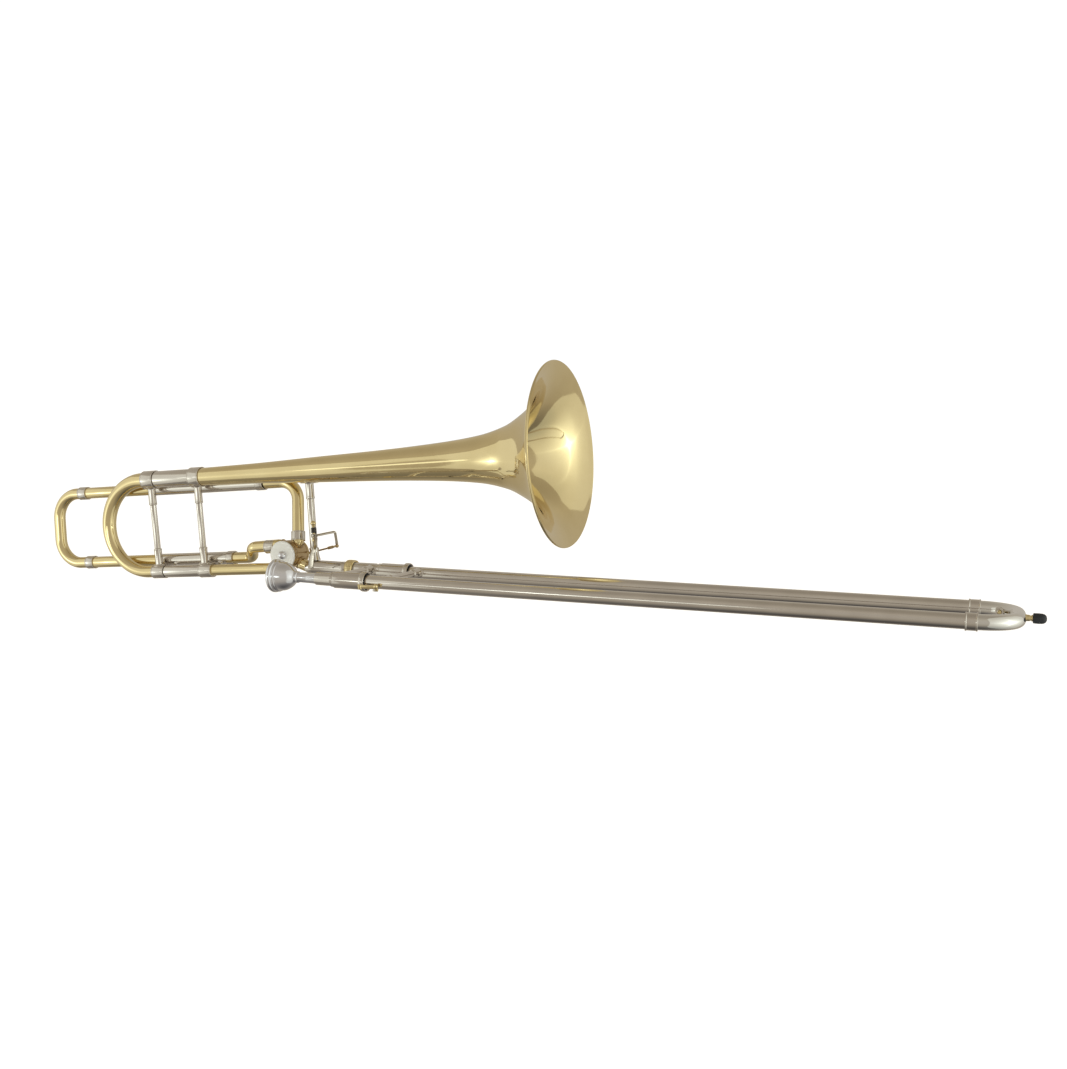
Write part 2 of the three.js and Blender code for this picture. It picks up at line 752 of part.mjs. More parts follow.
function thumbLever() {
  const screw = rodBetween(
    HINGE.clone().add(vec(0, 0, -8)),
    HINGE.clone().add(vec(0, 0, 15)),
    [
      [0, 1.6],
      [1, 1.6],
    ],
    10,
  );
  const finial = new THREE.SphereGeometry(3.6, 14, 10).translate(HINGE.x, HINGE.y, HINGE.z + 15);
  const lug = rodBetween(
    vec(HAND_BRACE_X + 3.5, -4, HINGE.z - 6),
    HINGE.clone().add(vec(0, 0, -6)),
    [
      [0, 2.6],
      [1, 2.6],
    ],
    10,
  );
  const braceSpace = rodBetween(vec(HAND_BRACE_X, 0, 0), vec(HAND_BRACE_X, 0, 70), [
    [0, 4.9],
    [1, 4.9],
  ]);
  add(bellSection, "lever_post", cut(join(screw, finial, lug), braceSpace), BRASS);

  const springTurns = 5;
  class Helix extends THREE.Curve {
    getPoint(t, target = new THREE.Vector3()) {
      const turn = 2 * Math.PI * springTurns * t;
      return target.set(
        HINGE.x + 3.1 * Math.cos(turn),
        HINGE.y + 3.1 * Math.sin(turn),
        HINGE.z + 3.2 + 6.6 * t,
      );
    }
  }
  add(bellSection, "lever_spring", pipe(new Helix(), 0.6, 0, 1, 6, 45), STEEL);

  const hub = new THREE.CylinderGeometry(3.8, 3.8, 4.4, 14)
    .rotateX(Math.PI / 2)
    .translate(HINGE.x, HINGE.y, HINGE.z);
  const hole = new THREE.CylinderGeometry(1.95, 1.95, 12, 10)
    .rotateX(Math.PI / 2)
    .translate(HINGE.x, HINGE.y, HINGE.z);
  const crank = route([HINGE.clone().add(vec(3, 1, 0)), CRANK_END, CRANK_FOOT], [2.5]);
  const crankBar = pipe(crank, 1.5, 0, 1, 8);
  add(bellSection, "thumb_lever", cut(join(hub, leverBand(), crankBar), hole), NICKEL);
}

// The lever's flat band sweeps forward and down from the hub to the thumb paddle.
function leverBand() {
  const spine = new THREE.CatmullRomCurve3([
    HINGE.clone().add(vec(2.6, -2, 0)),
    fromSlide(-34, -20, 38),
    fromSlide(-31.5, -27, 28),
    fromSlide(-33, -31, 16),
    fromSlide(-33, -33, 2),
  ]);
  const strip = new THREE.Shape([
    new THREE.Vector2(-0.8, -3.4),
    new THREE.Vector2(0.8, -3.4),
    new THREE.Vector2(0.8, 3.4),
    new THREE.Vector2(-0.8, 3.4),
  ]);
  return new THREE.ExtrudeGeometry(strip, { extrudePath: spine, steps: 12, bevelEnabled: false });
}

// The link between the crank and the stop arm. Its crank end lies open below the crank's foot.
function linkRod() {
  const turn = THREE.MathUtils.degToRad(STOP_ARM_REST);
  const armEnd = vec(
    VALVE_X + STOP_ARM_LENGTH * Math.cos(turn),
    STOP_ARM_Y + 5,
    VALVE_Z + STOP_ARM_LENGTH * Math.sin(turn),
  );
  const open = CRANK_FOOT.clone().add(vec(0, 0, -3.6));
  const rod = rodBetween(armEnd, open, [
    [0, 1.1],
    [1, 1.1],
  ], 8);
  const ball = (centre, radius) =>
    new THREE.SphereGeometry(radius, 10, 6).translate(centre.x, centre.y, centre.z);
  add(bellSection, "link_rod", join(rod, ball(armEnd, 2.2), ball(open, 2.4)), NICKEL);
}

// ---------------------------------------------------------------- lock nut

function lockNut() {
  const flutes = 22;
  const outline = new THREE.Shape();
  for (let i = 0; i < flutes * 2; i += 1) {
    const turn = (Math.PI * i) / flutes;
    const radius = i % 2 ? 11.1 : 11.6;
    outline[i ? "lineTo" : "moveTo"](radius * Math.cos(turn), radius * Math.sin(turn));
  }
  outline.holes.push(new THREE.Path().absarc(0, 0, 9.6, 0, 2 * Math.PI, true));
  const nut = new THREE.ExtrudeGeometry(outline, {
    depth: 11.2,
    bevelEnabled: false,
    curveSegments: 12,
  });
  add(root, "lock_nut", nut.rotateY(Math.PI / 2), BRASS);
}

// ---------------------------------------------------------------- inner hand slide

function atNear(geometry) {
  return geometry.translate(0, -SLIDE_SPACING, 0);
}

function innerSlide() {
  const cone = turned([
    [-44, 5.9],
    [-44, 6.5],
    [-8, 7.3],
    [0.4, 7.3],
    [0.4, 8.8],
    [14, 8.9],
    [40, 8.9],
    [40, 8],
    [44, 8],
    [44, 7.4],
    [20, 7.4],
    [20, 5.9],
    [-44, 5.9],
  ]);
  add(root, "slide_cone", cone, SILVER);
  const innerStart = 44.8;
  const innerEnd = 712;
  add(root, "inner_tube_far", tube(innerStart, innerEnd, 6.9, 6.2), NICKEL);
  add(root, "inner_tube_near", atNear(tube(innerStart, innerEnd, 6.9, 6.2)), NICKEL);
  const ringEnd = FAR_RING_X + RING_LENGTH;
  const farBarrel = turned([
    [44.4, 7.2],
    [44.4, 9.1],
    [48.2, 9.1],
    [49, BARREL_RADIUS],
    [FAR_RING_X, BARREL_RADIUS],
    [FAR_RING_X + 1, RING_RADIUS],
    [ringEnd, RING_RADIUS],
    [ringEnd, 10.3],
    [ringEnd - 3, BARREL_BORE],
    [55, BARREL_BORE],
    [54, 7.2],
    [44.4, 7.2],
  ]);
  add(root, "cork_barrel_far", farBarrel, NICKEL);
  const nearBarrel = turned([
    [39.8, 7.2],
    [39.8, 9.1],
    [40.8, BARREL_RADIUS],
    [NEAR_RING_X - GAP, BARREL_RADIUS],
    [NEAR_RING_X - GAP, BARREL_BORE + 0.5],
    [NEAR_RING_X + RING_LENGTH - 3, BARREL_BORE + 0.5],
    [NEAR_RING_X + RING_LENGTH - 3, BARREL_BORE],
    [55, BARREL_BORE],
    [54, 7.2],
    [39.8, 7.2],
  ]);
  add(root, "cork_barrel_near", atNear(nearBarrel), NICKEL);
  const receiverTube = turned([
    [15.4, 6.9],
    [15.4, 7.6],
    [36.2, 7.9],
    [36.2, 8.7],
    [39.5, 8.7],
    [39.5, 6.2],
    [15.4, 6.9],
  ]);
  add(root, "mouthpiece_receiver", atNear(receiverTube), NICKEL);
  const farTube = bar(0, 70, 8.9 + GAP, 0);
  const nearTube = turned([
    [0, 0],
    [0, 8.7 + GAP],
    [39.4, 8.7 + GAP],
    [39.4, BARREL_RADIUS + GAP],
    [70, BARREL_RADIUS + GAP],
    [70, 0],
  ]);
  add(root, "inner_brace", slideBrace(36, farTube, nearTube, 3.8, 3.9), NICKEL);
}

// A brace across the hand slide, with a short foot on each tube.
function slideBrace(x, farTube, nearTube, rodRadius, footRadius) {
  const from = vec(x, -SLIDE_SPACING + 3, BRACE_LIFT);
  const to = vec(x, -3, BRACE_LIFT);
  const body = rodBetween(from, to, [
    [0, footRadius],
    [0.12, footRadius],
    [0.16, rodRadius],
    [0.84, rodRadius],
    [0.88, footRadius],
    [1, footRadius],
  ]);
  return cut(body, farTube, atNear(nearTube));
}

// The ring on the near barrel turns. Turned on by LOCK_TURN, its hook reaches behind the stud on the outer
// slide and holds the slide closed. It stands unlocked here.
const HOOK_ANGLE = 118; // degrees about X, from +Z towards -Y
const LOCK_TURN = 24;
const STUD_X = 93.8;
const STUD_HALF_WIDTH = 28; // degrees, clearance from the hook's finger included

function slideLock() {
  const end = NEAR_RING_X + RING_LENGTH;
  const inner = BARREL_BORE + 0.8;
  const ring = turned([
    [NEAR_RING_X, inner],
    [NEAR_RING_X, RING_RADIUS],
    [end, RING_RADIUS],
    [end, 10.3],
    [end - 1.2, inner],
    [NEAR_RING_X, inner],
  ], 24);
  const fingerLength = STUD_X - NEAR_RING_X + 5.8;
  const finger = new THREE.BoxGeometry(fingerLength, 3, 2.2)
    .translate(NEAR_RING_X + 1 + fingerLength / 2, 0, 12.4);
  const hook = new THREE.BoxGeometry(2.4, 6.4, 4).translate(STUD_X + 5.8, -1.7, 11);
  const screw = new THREE.CylinderGeometry(2.2, 2.2, 4, 12)
    .rotateX(Math.PI / 2)
    .translate(NEAR_RING_X + 3.4, -1, 12.8);
  const grip = join(ring, finger, hook, screw).rotateX(THREE.MathUtils.degToRad(HOOK_ANGLE));
  add(root, "slide_lock_ring", atNear(grip), BRASS);
}

// ---------------------------------------------------------------- mouthpiece

function mouthpiece() {
  const outside = [
    [-42.8, 13.4],
    [-44, 15.2],
    [-44, 17.4],
    [-43.2, 19],
    [-41.6, 19.7],
    [-37.6, 19.7],
    [-36.8, 18.3],
    [-35.9, 18.3],
    [-35.2, 18.6],
    [-31.8, 17.6],
    [-30.6, 16.4],
    [-21.5, 13.9],
    [-14, 11.3],
    [-8.5, 6.6],
    [-6.5, 5.7],
    [15, 6.5],
    [39, 5.4],
  ];
  const inside = [
    [39, 4.9],
    [8, 4.2],
    [-11, 3.4],
    [-18, 5],
    [-27, 9],
    [-36, 11.6],
    [-42.8, 13.4],
  ];
  add(root, "mouthpiece", atNear(turned([...outside, ...inside], 24)), SILVER);
}

// ---------------------------------------------------------------- outer hand slide

function outerSlide() {
  const start = 56;
  const bore = TUBE_INNER + 0.1;
  const end = BOW_FERRULE_X + 5;
  add(root, "outer_tube_far", tube(start, end, TUBE_OUTER, bore), NICKEL);
  const nearTube = tube(start, end, TUBE_OUTER, bore);
  const stud = rodBetween(vec(STUD_X, 0, 5), vec(STUD_X, 0, 10.8), [
    [0, 2.2],
    [0.6, 2.2],
    [0.61, 3.2],
    [1, 3.2],
  ]).rotateX(THREE.MathUtils.degToRad(HOOK_ANGLE + LOCK_TURN + STUD_HALF_WIDTH));
  const studded = cut(join(nearTube, stud), bar(start - 1, start + 60, bore, 0));
  add(root, "outer_tube_near", atNear(studded), NICKEL);
  const ferruleEnd = BOW_FERRULE_X + BOW_FERRULE_LENGTH;
  for (const [name, place] of [["far", (geometry) => geometry], ["near", atNear]]) {
    const ferrule = beadedTube(BOW_FERRULE_X, ferruleEnd, 8.6, TUBE_OUTER + GAP, 0.5);
    add(root, "bow_ferrule_" + name, place(ferrule), NICKEL);
  }
  const bow = route(
    [
      vec(end + 0.4, 0, 0),
      vec(END_BOW_REACH, 0, 0),
      vec(END_BOW_REACH, -SLIDE_SPACING, 0),
      vec(end + 0.4, -SLIDE_SPACING, 0),
    ],
    [END_BOW_BEND, END_BOW_BEND],
  );
  add(root, "end_bow", pipe(bow, TUBE_OUTER, TUBE_OUTER - WALL), CHROME);
  const tubeSpace = bar(60, 160, TUBE_OUTER + GAP, 0);
  const outerBrace = slideBrace(101, tubeSpace, tubeSpace.clone(), 3.4, 4.6);
  add(root, "outer_brace", outerBrace, NICKEL);

  const middle = -SLIDE_SPACING / 2;
  const stem = turned([
    [END_BOW_REACH + 4, 0],
    [END_BOW_REACH + 4, 4.2],
    [785.4, 3.6],
    [785.4, 2.9],
    [795, 2.9],
    [795, 0],
  ], 14).translate(0, middle, 0);
  const bowSpace = new THREE.CylinderGeometry(TUBE_OUTER + GAP, TUBE_OUTER + GAP, 40, 24)
    .translate(END_BOW_REACH, middle, 0);
  add(root, "bumper_stem", cut(stem, bowSpace), BRASS);
  const bumper = turned([
    [789.3, 3.2],
    [789.3, 5],
    [796.5, 5],
    [799, 4],
    [BUMPER_END_X, 2.6],
    [BUMPER_END_X, 0],
    [795.4, 0],
    [795.4, 3.2],
    [789.3, 3.2],
  ]);
  add(root, "rubber_bumper", bumper.translate(0, middle, 0), RUBBER);
}

// ---------------------------------------------------------------- water key

const KEY_X = 757;
const KEY_Y = -17;

function waterKey() {
  const body = turnedAboutY([
    [KEY_Y - 2.4, 2.1],
    [KEY_Y - 2.4, 4],
    [KEY_Y + 3, 4],
    [KEY_Y + 3, 2.1],
    [KEY_Y - 2.4, 2.1],
  ], 16).translate(KEY_X, 0, 0);
  const bow = pipe(
    route(
      [vec(735, 0, 0), vec(END_BOW_REACH, 0, 0), vec(END_BOW_REACH, -60, 0)],
      [END_BOW_BEND],
    ),
    TUBE_OUTER + GAP,
    0,
  );
  add(root, "water_key_body", cut(body, bow), NICKEL);
  const button = turnedAboutY([
    [KEY_Y - 4.6, 0],
    [KEY_Y - 4.6, 1.8],
    [KEY_Y - 0.6, 1.8],
    [KEY_Y - 0.6, 0],
  ], 14).translate(KEY_X, 0, 0);
  add(root, "water_key_button", button, BRASS);
}

bellLine();
gooseneckLine();
bellBrace();
handBrace();
valve();
receiver();
fInlet();
fOutlet();
fBraces();
tuningSlide();
fTuningSlide();
thumbLever();
linkRod();
lockNut();
innerSlide();
slideLock();
mouthpiece();
outerSlide();
waterKey();

export default root;
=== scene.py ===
from math import ceil, copysign, cos, degrees, hypot, pi, radians, sin, sqrt, tan

import bmesh
import bpy
from mathutils import Matrix, Vector


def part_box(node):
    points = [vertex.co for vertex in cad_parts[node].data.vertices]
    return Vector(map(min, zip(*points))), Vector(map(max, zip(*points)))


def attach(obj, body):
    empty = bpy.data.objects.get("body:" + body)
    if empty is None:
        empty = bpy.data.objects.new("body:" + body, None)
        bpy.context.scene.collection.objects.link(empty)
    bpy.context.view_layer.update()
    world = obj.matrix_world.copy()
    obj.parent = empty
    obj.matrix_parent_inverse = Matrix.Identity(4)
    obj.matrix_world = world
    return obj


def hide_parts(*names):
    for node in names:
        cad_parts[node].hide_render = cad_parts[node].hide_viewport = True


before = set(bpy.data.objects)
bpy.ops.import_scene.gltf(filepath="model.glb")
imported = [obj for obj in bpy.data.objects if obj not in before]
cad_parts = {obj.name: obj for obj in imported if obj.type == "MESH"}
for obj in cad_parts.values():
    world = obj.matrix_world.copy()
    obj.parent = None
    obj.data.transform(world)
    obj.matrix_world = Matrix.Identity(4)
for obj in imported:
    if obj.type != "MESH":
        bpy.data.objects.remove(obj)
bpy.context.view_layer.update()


# --- sizes and places
# Shapes are made in millimetres, along the X axis of the line they belong to. A place takes them to
# the shared frame, in metres.

SLIDE_SPACING = 96
BELL_LIFT = 3
BELL_ANGLE = radians(4.38)
LINE_GAP = 122.7
VALVE_AT = (-81.7, 0, 18.3)
TUBE_WALL = 0.8
TUBE_RADIUS = 7.3
F_RADIUS = 7.6
F_SLEEVE_RADIUS = 8.5
SLIDE_RADIUS = 7.7


def shifted(place, x, y, z):
    return place @ Matrix.Translation((x, y, z))


FAR = Matrix.Scale(0.001, 4)
NEAR = shifted(FAR, 0, -SLIDE_SPACING, 0)
NECK = shifted(FAR, 0, 0, BELL_LIFT) @ Matrix.Rotation(-BELL_ANGLE, 4, "Y")
BELL = shifted(NECK, 0, 0, LINE_GAP)
VALVE = shifted(NECK, *VALVE_AT)
QUARTER = Matrix.Rotation(pi / 2, 4, "Z")
UPRIGHT = Matrix.Rotation(-pi / 2, 4, "Y")


def local_points(node, place):
    inverse = place.inverted()
    return [inverse @ vertex.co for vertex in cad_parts[node].data.vertices]


def halfway(values):
    return (min(values) + max(values)) / 2


def reach(node, place):
    """First and last x of a CAD node in a place's own frame, and its largest radius there, in mm."""
    points = local_points(node, place)
    xs = [p.x for p in points]
    return min(xs), max(xs), max(hypot(p.y, p.z) for p in points)


def line_through(node, base):
    """The place of the line through the middle of a straight CAD node that lies along base's X axis."""
    points = local_points(node, base)
    return shifted(base, 0, halfway([p.y for p in points]), halfway([p.z for p in points]))


F_UPPER = line_through("f_tuning_ferrule_upper", NECK)
F_LOWER = line_through("f_tuning_ferrule_lower", NECK)
F_UPPER_AT = NECK.inverted() @ F_UPPER.translation
F_LOWER_AT = NECK.inverted() @ F_LOWER.translation


# --- shapes
# A shape is a pair of lists, (vertices, faces).


def merged(*shapes):
    vertices = []
    faces = []
    for shape_vertices, shape_faces in shapes:
        start = len(vertices)
        vertices.extend(shape_vertices)
        faces.extend([tuple(start + i for i in face) for face in shape_faces])
    return vertices, faces


def moved(shape, matrix):
    return [matrix @ Vector(v) for v in shape[0]], shape[1]


def bridged(first, second):
    """Faces between two loops of vertex numbers."""
    ahead = zip(first, first[1:] + first[:1], second[1:] + second[:1], second)
    return [tuple(dict.fromkeys(face)) for face in ahead]


def softened(profile, radius=0.25, steps=3, ring=False):
    """Rounds the corners of a profile of (x, r) points."""
    out = []
    count = len(profile)
    for i, point in enumerate(profile):
        if not ring and i in (0, count - 1):
            out.append(point)
            continue
        here = Vector(point)
        back = Vector(profile[i - 1]) - here
        ahead = Vector(profile[(i + 1) % count]) - here
        if back.length < 1e-6 or ahead.length < 1e-6:
            continue
        turn = pi - back.angle(ahead)
        if turn < radians(14):
            out.append(point)
            continue
        reach_back = min(radius, back.length * 0.45, ahead.length * 0.45)
        first = here + back.normalized() * reach_back
        last = here + ahead.normalized() * reach_back
        for k in range(steps + 1):
            t = k / steps
            bent = first * (1 - t) ** 2 + here * 2 * t * (1 - t) + last * t**2
            out.append((bent.x, bent.y))
    return out


def turned(profile, sides=96, ring=False):
    """Turns a profile of (x, r) points about the X axis. A ring's profile is a loop."""
    vertices = []
    rings = []
    for x, r in profile:
        start = len(vertices)
        if r < 1e-4:
            vertices.append((x, 0, 0))
            rings.append([start] * sides)
        else:
            vertices.extend([(x, a, b) for a, b in circle(r, sides)])
            rings.append(list(range(start, start + sides)))
    if ring:
        rings.append(rings[0])
    faces = []
    for first, second in zip(rings, rings[1:]):
        faces.extend([face for face in bridged(first, second) if len(face) > 2])
    return vertices, faces


def lathe(loop, rounding=0.25, sides=96):
    """Turns a closed loop of (x, r) points about the X axis, with its corners rounded."""
    return turned(softened(loop, rounding, ring=True), sides, ring=True)


def sleeve(start, end, outer, inner, edge=0.25, sides=96):
    return lathe([(start, outer), (end, outer), (end, inner), (start, inner)], edge, sides)


def lipped(start, end, radius, lip):
    """An outline with the same lip on both ends. The lip's points are (distance in, drop)."""
    rise = [(start + x, radius - drop) for x, drop in lip]
    return rise + [(end - x, radius - drop) for x, drop in reversed(lip)]


def rolled_sleeve(start, end, outer, inner, sides=96):
    """A thin sleeve whose two ends have a fine raised lip and a groove behind it."""
    lip = [(0, 0.1), (0.3, 0), (1.1, 0), (1.25, 0.35), (1.5, 0.35), (1.7, 0.08)]
    return lathe([*lipped(start, end, outer, lip), (end, inner), (start, inner)], 0.2, sides)


def route(corners, bends, step=4):
    """Points along a path through the corners, with a round bend at each inner corner."""
    corners = [Vector(c) for c in corners]
    points = [corners[0]]
    for i, radius in enumerate(bends, start=1):
        into = (corners[i] - corners[i - 1]).normalized()
        out = (corners[i + 1] - corners[i]).normalized()
        angle = into.angle(out)
        setback = radius * tan(angle / 2)
        start = corners[i] - into * setback
        side = (out - into * out.dot(into)).normalized()
        centre = start + side * radius
        steps = max(2, ceil(degrees(angle) / step))
        for k in range(steps + 1):
            turn = angle * k / steps
            points.append(centre - side * radius * cos(turn) + into * radius * sin(turn))
    points.append(corners[-1])
    clean = [points[0]]
    for point in points[1:]:
        if (point - clean[-1]).length > 0.05:
            clean.append(point)
    return clean


def u_bend(first, last, x, radius, step):
    """A path from first along X to x, across, and back to last."""
    return route([first, (x, *first[1:]), (x, *last[1:]), last], [radius, radius], step)


def frames_along(points):
    """A pair of cross directions at each point of a path, without twist."""
    tangents = []
    for i in range(len(points)):
        ahead = points[min(i + 1, len(points) - 1)] - points[i]
        back = points[i] - points[max(i - 1, 0)]
        tangents.append((ahead.normalized() + back.normalized()).normalized())
    up = Vector((0, 1, 0)) if abs(tangents[0].y) < 0.8 else Vector((0, 0, 1))
    first = tangents[0].cross(up).normalized()
    frames = []
    for tangent in tangents:
        first = (first - tangent * first.dot(tangent)).normalized()
        frames.append((first, tangent.cross(first)))
    return frames


def lofted(points, sections, hollow=False):
    """Skins sections, lists of (a, b) offsets, one for each point of a path. Ends are closed flat."""
    vertices = []
    rows = []
    for point, (first, second), section in zip(points, frames_along(points), sections):
        rows.append(list(range(len(vertices), len(vertices) + len(section))))
        vertices.extend([point + first * a + second * b for a, b in section])
    faces = []
    for row, next_row in zip(rows, rows[1:]):
        faces.extend(bridged(row, next_row))
    if not hollow:
        faces.extend([tuple(reversed(rows[0])), tuple(rows[-1])])
    return vertices, faces


def circle(radius, sides):
    angles = [2 * pi * k / sides for k in range(sides)]
    return [(radius * cos(a), radius * sin(a)) for a in angles]


def pipe(points, outer, end_outer=None, sides=56):
    """A round tube along a path, open at both ends, with an even taper to end_outer."""
    lengths = [0]
    for a, b in zip(points, points[1:]):
        lengths.append(lengths[-1] + (b - a).length)
    growth = (end_outer or outer) - outer
    radii = [outer + growth * (length / lengths[-1]) for length in lengths]
    skin = lofted(points, [circle(r, sides) for r in radii], hollow=True)
    bore = lofted(points, [circle(r - TUBE_WALL, sides) for r in radii], hollow=True)
    vertices, faces = merged(skin, bore)
    shift = len(skin[0])
    for row in (0, shift - sides):
        edge = list(range(row, row + sides))
        faces.extend(bridged(edge, [shift + k for k in edge]))
    return vertices, faces


def band(points, widths, thickness):
    """A flat strip with rounded edges along a path."""
    sections = []
    half = thickness / 2
    for width in widths:
        side = width / 2 - half
        right = [(half * sin(a), side + half * cos(a)) for a in angles_from(90, -90, 6)]
        sections.append(right + [(-x, -y) for x, y in right])
    return lofted(points, sections)


def angles_from(first, last, steps):
    return [radians(first + (last - first) * k / steps) for k in range(steps + 1)]


def ball(centre, radius, sides=32):
    profile = [(-radius * cos(a), radius * sin(a)) for a in angles_from(0, 180, 16)]
    return moved(turned(profile, sides), Matrix.Translation(centre))


def laid(shape, start, end):
    """Moves a shape that begins at the origin, from the X axis to the line from start to end."""
    aim = Vector((1, 0, 0)).rotation_difference(end - start).to_matrix().to_4x4()
    return moved(shape, Matrix.Translation(start) @ aim)


def turned_between(start, end, stations, sides=48):
    """A turned rod from start to end. Stations are (share of the length, radius)."""
    start = Vector(start)
    end = Vector(end)
    length = (end - start).length
    profile = [(0, 0), *[(share * length, r) for share, r in stations], (length, 0)]
    return laid(turned(softened(profile, 0.4), sides), start, end)


def smooth_curve(corners, steps=8):
    """A Catmull-Rom curve through the corners."""
    points = [Vector(c) for c in corners]
    padded = [2 * points[0] - points[1], *points, 2 * points[-1] - points[-2]]
    out = []
    for i in range(1, len(padded) - 2):
        a, b, c, d = padded[i - 1 : i + 3]
        for k in range(steps):
            t = k / steps
            out.append(
                0.5 * (2 * b + (c - a) * t + (2 * a - 5 * b + 4 * c - d) * t**2
                       + (3 * b - a - 3 * c + d) * t**3)
            )
    out.append(points[-1])
    return out


def placed(name, data):
    """A new object in the scene."""
    made = bpy.data.objects.new(name, data)
    bpy.context.scene.collection.objects.link(made)
    return made


# --- materials


def node(tree, kind, **values):
    """A shader node. A value goes to the input of that name, with _ for a space, or to an attribute."""
    made = tree.nodes.new(kind)
    for key, value in values.items():
        socket = key.replace("_", " ")
        if socket in made.inputs:
            made.inputs[socket].default_value = value
        else:
            setattr(made, key, value)
    return made


def ramp(tree, *stops):
    """A colour ramp through stops of (position, colour)."""
    made = node(tree, "ShaderNodeValToRGB")
    elements = made.color_ramp.elements
    for i, (position, colour) in enumerate(stops):
        stop = elements[i] if i < 2 else elements.new(position)
        stop.position = position
        stop.color = (*colour, 1)
    return made


def material(name, dark, light, roughness, metallic=1, coat=0, coat_roughness=0.05,
             bump=0.0018, grain=900, cloud=35, specular=0.5):
    """A finish with clouded colour, smudged roughness and a fine grain in its relief."""
    made = bpy.data.materials.new(name)
    made.use_nodes = True
    tree = made.node_tree
    tree.nodes.clear()
    link = tree.links.new
    output = node(tree, "ShaderNodeOutputMaterial")
    shader = node(tree, "ShaderNodeBsdfPrincipled", Metallic=metallic, Coat_Weight=coat,
                  Coat_Roughness=coat_roughness, Specular_IOR_Level=specular)
    link(shader.outputs[0], output.inputs[0])
    where = node(tree, "ShaderNodeTexCoord")

    def noise(scale, detail, unevenness):
        texture = node(tree, "ShaderNodeTexNoise", Scale=scale, Detail=detail, Roughness=unevenness)
        link(where.outputs["Object"], texture.inputs["Vector"])
        return texture.outputs["Fac"]

    tint = ramp(tree, (0.3, dark), (0.7, light))
    link(noise(cloud, 4, 0.55), tint.inputs["Fac"])
    link(tint.outputs["Color"], shader.inputs["Base Color"])
    smudge = node(tree, "ShaderNodeMapRange", From_Min=0.3, From_Max=0.75,
                  To_Min=roughness[0], To_Max=roughness[1])
    link(noise(cloud * 4, 6, 0.6), smudge.inputs["Value"])
    link(smudge.outputs["Result"], shader.inputs["Roughness"])
    relief = node(tree, "ShaderNodeBump", Strength=bump, Distance=0.001)
    link(noise(grain, 3, 0.5), relief.inputs["Height"])
    link(relief.outputs["Normal"], shader.inputs["Normal"])
    return made


BRASS = material("lacquered_brass", (0.80, 0.665, 0.365), (0.85, 0.715, 0.405), (0.05, 0.10),
                 coat=0.12, coat_roughness=0.04)
NICKEL = material("nickel_silver", (0.66, 0.62, 0.57), (0.73, 0.69, 0.635), (0.07, 0.13), bump=0.002)
WORN_NICKEL = material("worn_nickel", (0.40, 0.36, 0.31), (0.50, 0.46, 0.40), (0.10, 0.20),
                       coat=0.05, grain=90, cloud=14)
AGED_BRASS = material("aged_brass", (0.50, 0.37, 0.20), (0.62, 0.48, 0.28), (0.10, 0.22),
                      coat=0.05, grain=90, cloud=14)
SILVER = material("silver_plate", (0.80, 0.81, 0.86), (0.87, 0.88, 0.92), (0.10, 0.17), bump=0.002)
SATIN = material("satin_silver", (0.80, 0.80, 0.77), (0.88, 0.88, 0.85), (0.5, 0.62),
                 metallic=0.75, bump=0.12, grain=2600)
CHROME = material("chrome_plate", (0.76, 0.745, 0.71), (0.82, 0.81, 0.775), (0.05, 0.09), bump=0.0012)
STEEL = material("dark_steel", (0.10, 0.095, 0.09), (0.17, 0.16, 0.15), (0.3, 0.42), bump=0.02)
RUBBER = material("black_rubber", (0.012, 0.014, 0.017), (0.026, 0.03, 0.034), (0.45, 0.6),
                  metallic=0, bump=0.15, grain=1800, specular=0.4)
CORK = material("cork", (0.30, 0.17, 0.08), (0.52, 0.34, 0.19), (0.75, 0.9),
                metallic=0, bump=0.4, grain=1400, cloud=500)


def piece(name, shape, place, finish, body, *replaced, sharp=38):
    """Makes a mesh of a shape, with its place, finish and body, and hides the CAD nodes it stands for."""
    vertices, faces = shape
    mesh = bpy.data.meshes.new(name)
    mesh.from_pydata([place @ Vector(v) for v in vertices], [], faces)
    mesh.validate()
    work = bmesh.new()
    work.from_mesh(mesh)
    bmesh.ops.recalc_face_normals(work, faces=work.faces)
    work.to_mesh(mesh)
    work.free()
    mesh.polygons.foreach_set("use_smooth", [True] * len(mesh.polygons))
    mesh.set_sharp_from_angle(angle=radians(sharp))
    mesh.materials.append(finish)
    made = placed(name, mesh)
    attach(made, body)
    if replaced:
        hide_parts(*replaced)


def fitted(name, node_name, place, body, make_shape, wall=TUBE_WALL, bore=None):
    """A nickel silver sleeve or ferrule as long as a CAD node, with the wall or the bore given."""
    start, end, radius = reach(node_name, place)
    shape = make_shape(start, end, radius, bore or radius - wall)
    piece(name, shape, place, NICKEL, body, node_name)


# --- bell line

BELL_PROFILE = (
    (-217, 11.4), (-130, 12.9), (-30, 16.2), (60, 19), (140, 23.2), (190, 28.3),
    (225, 37), (250, 50), (268, 63.5), (281, 79), (289.5, 97),
)


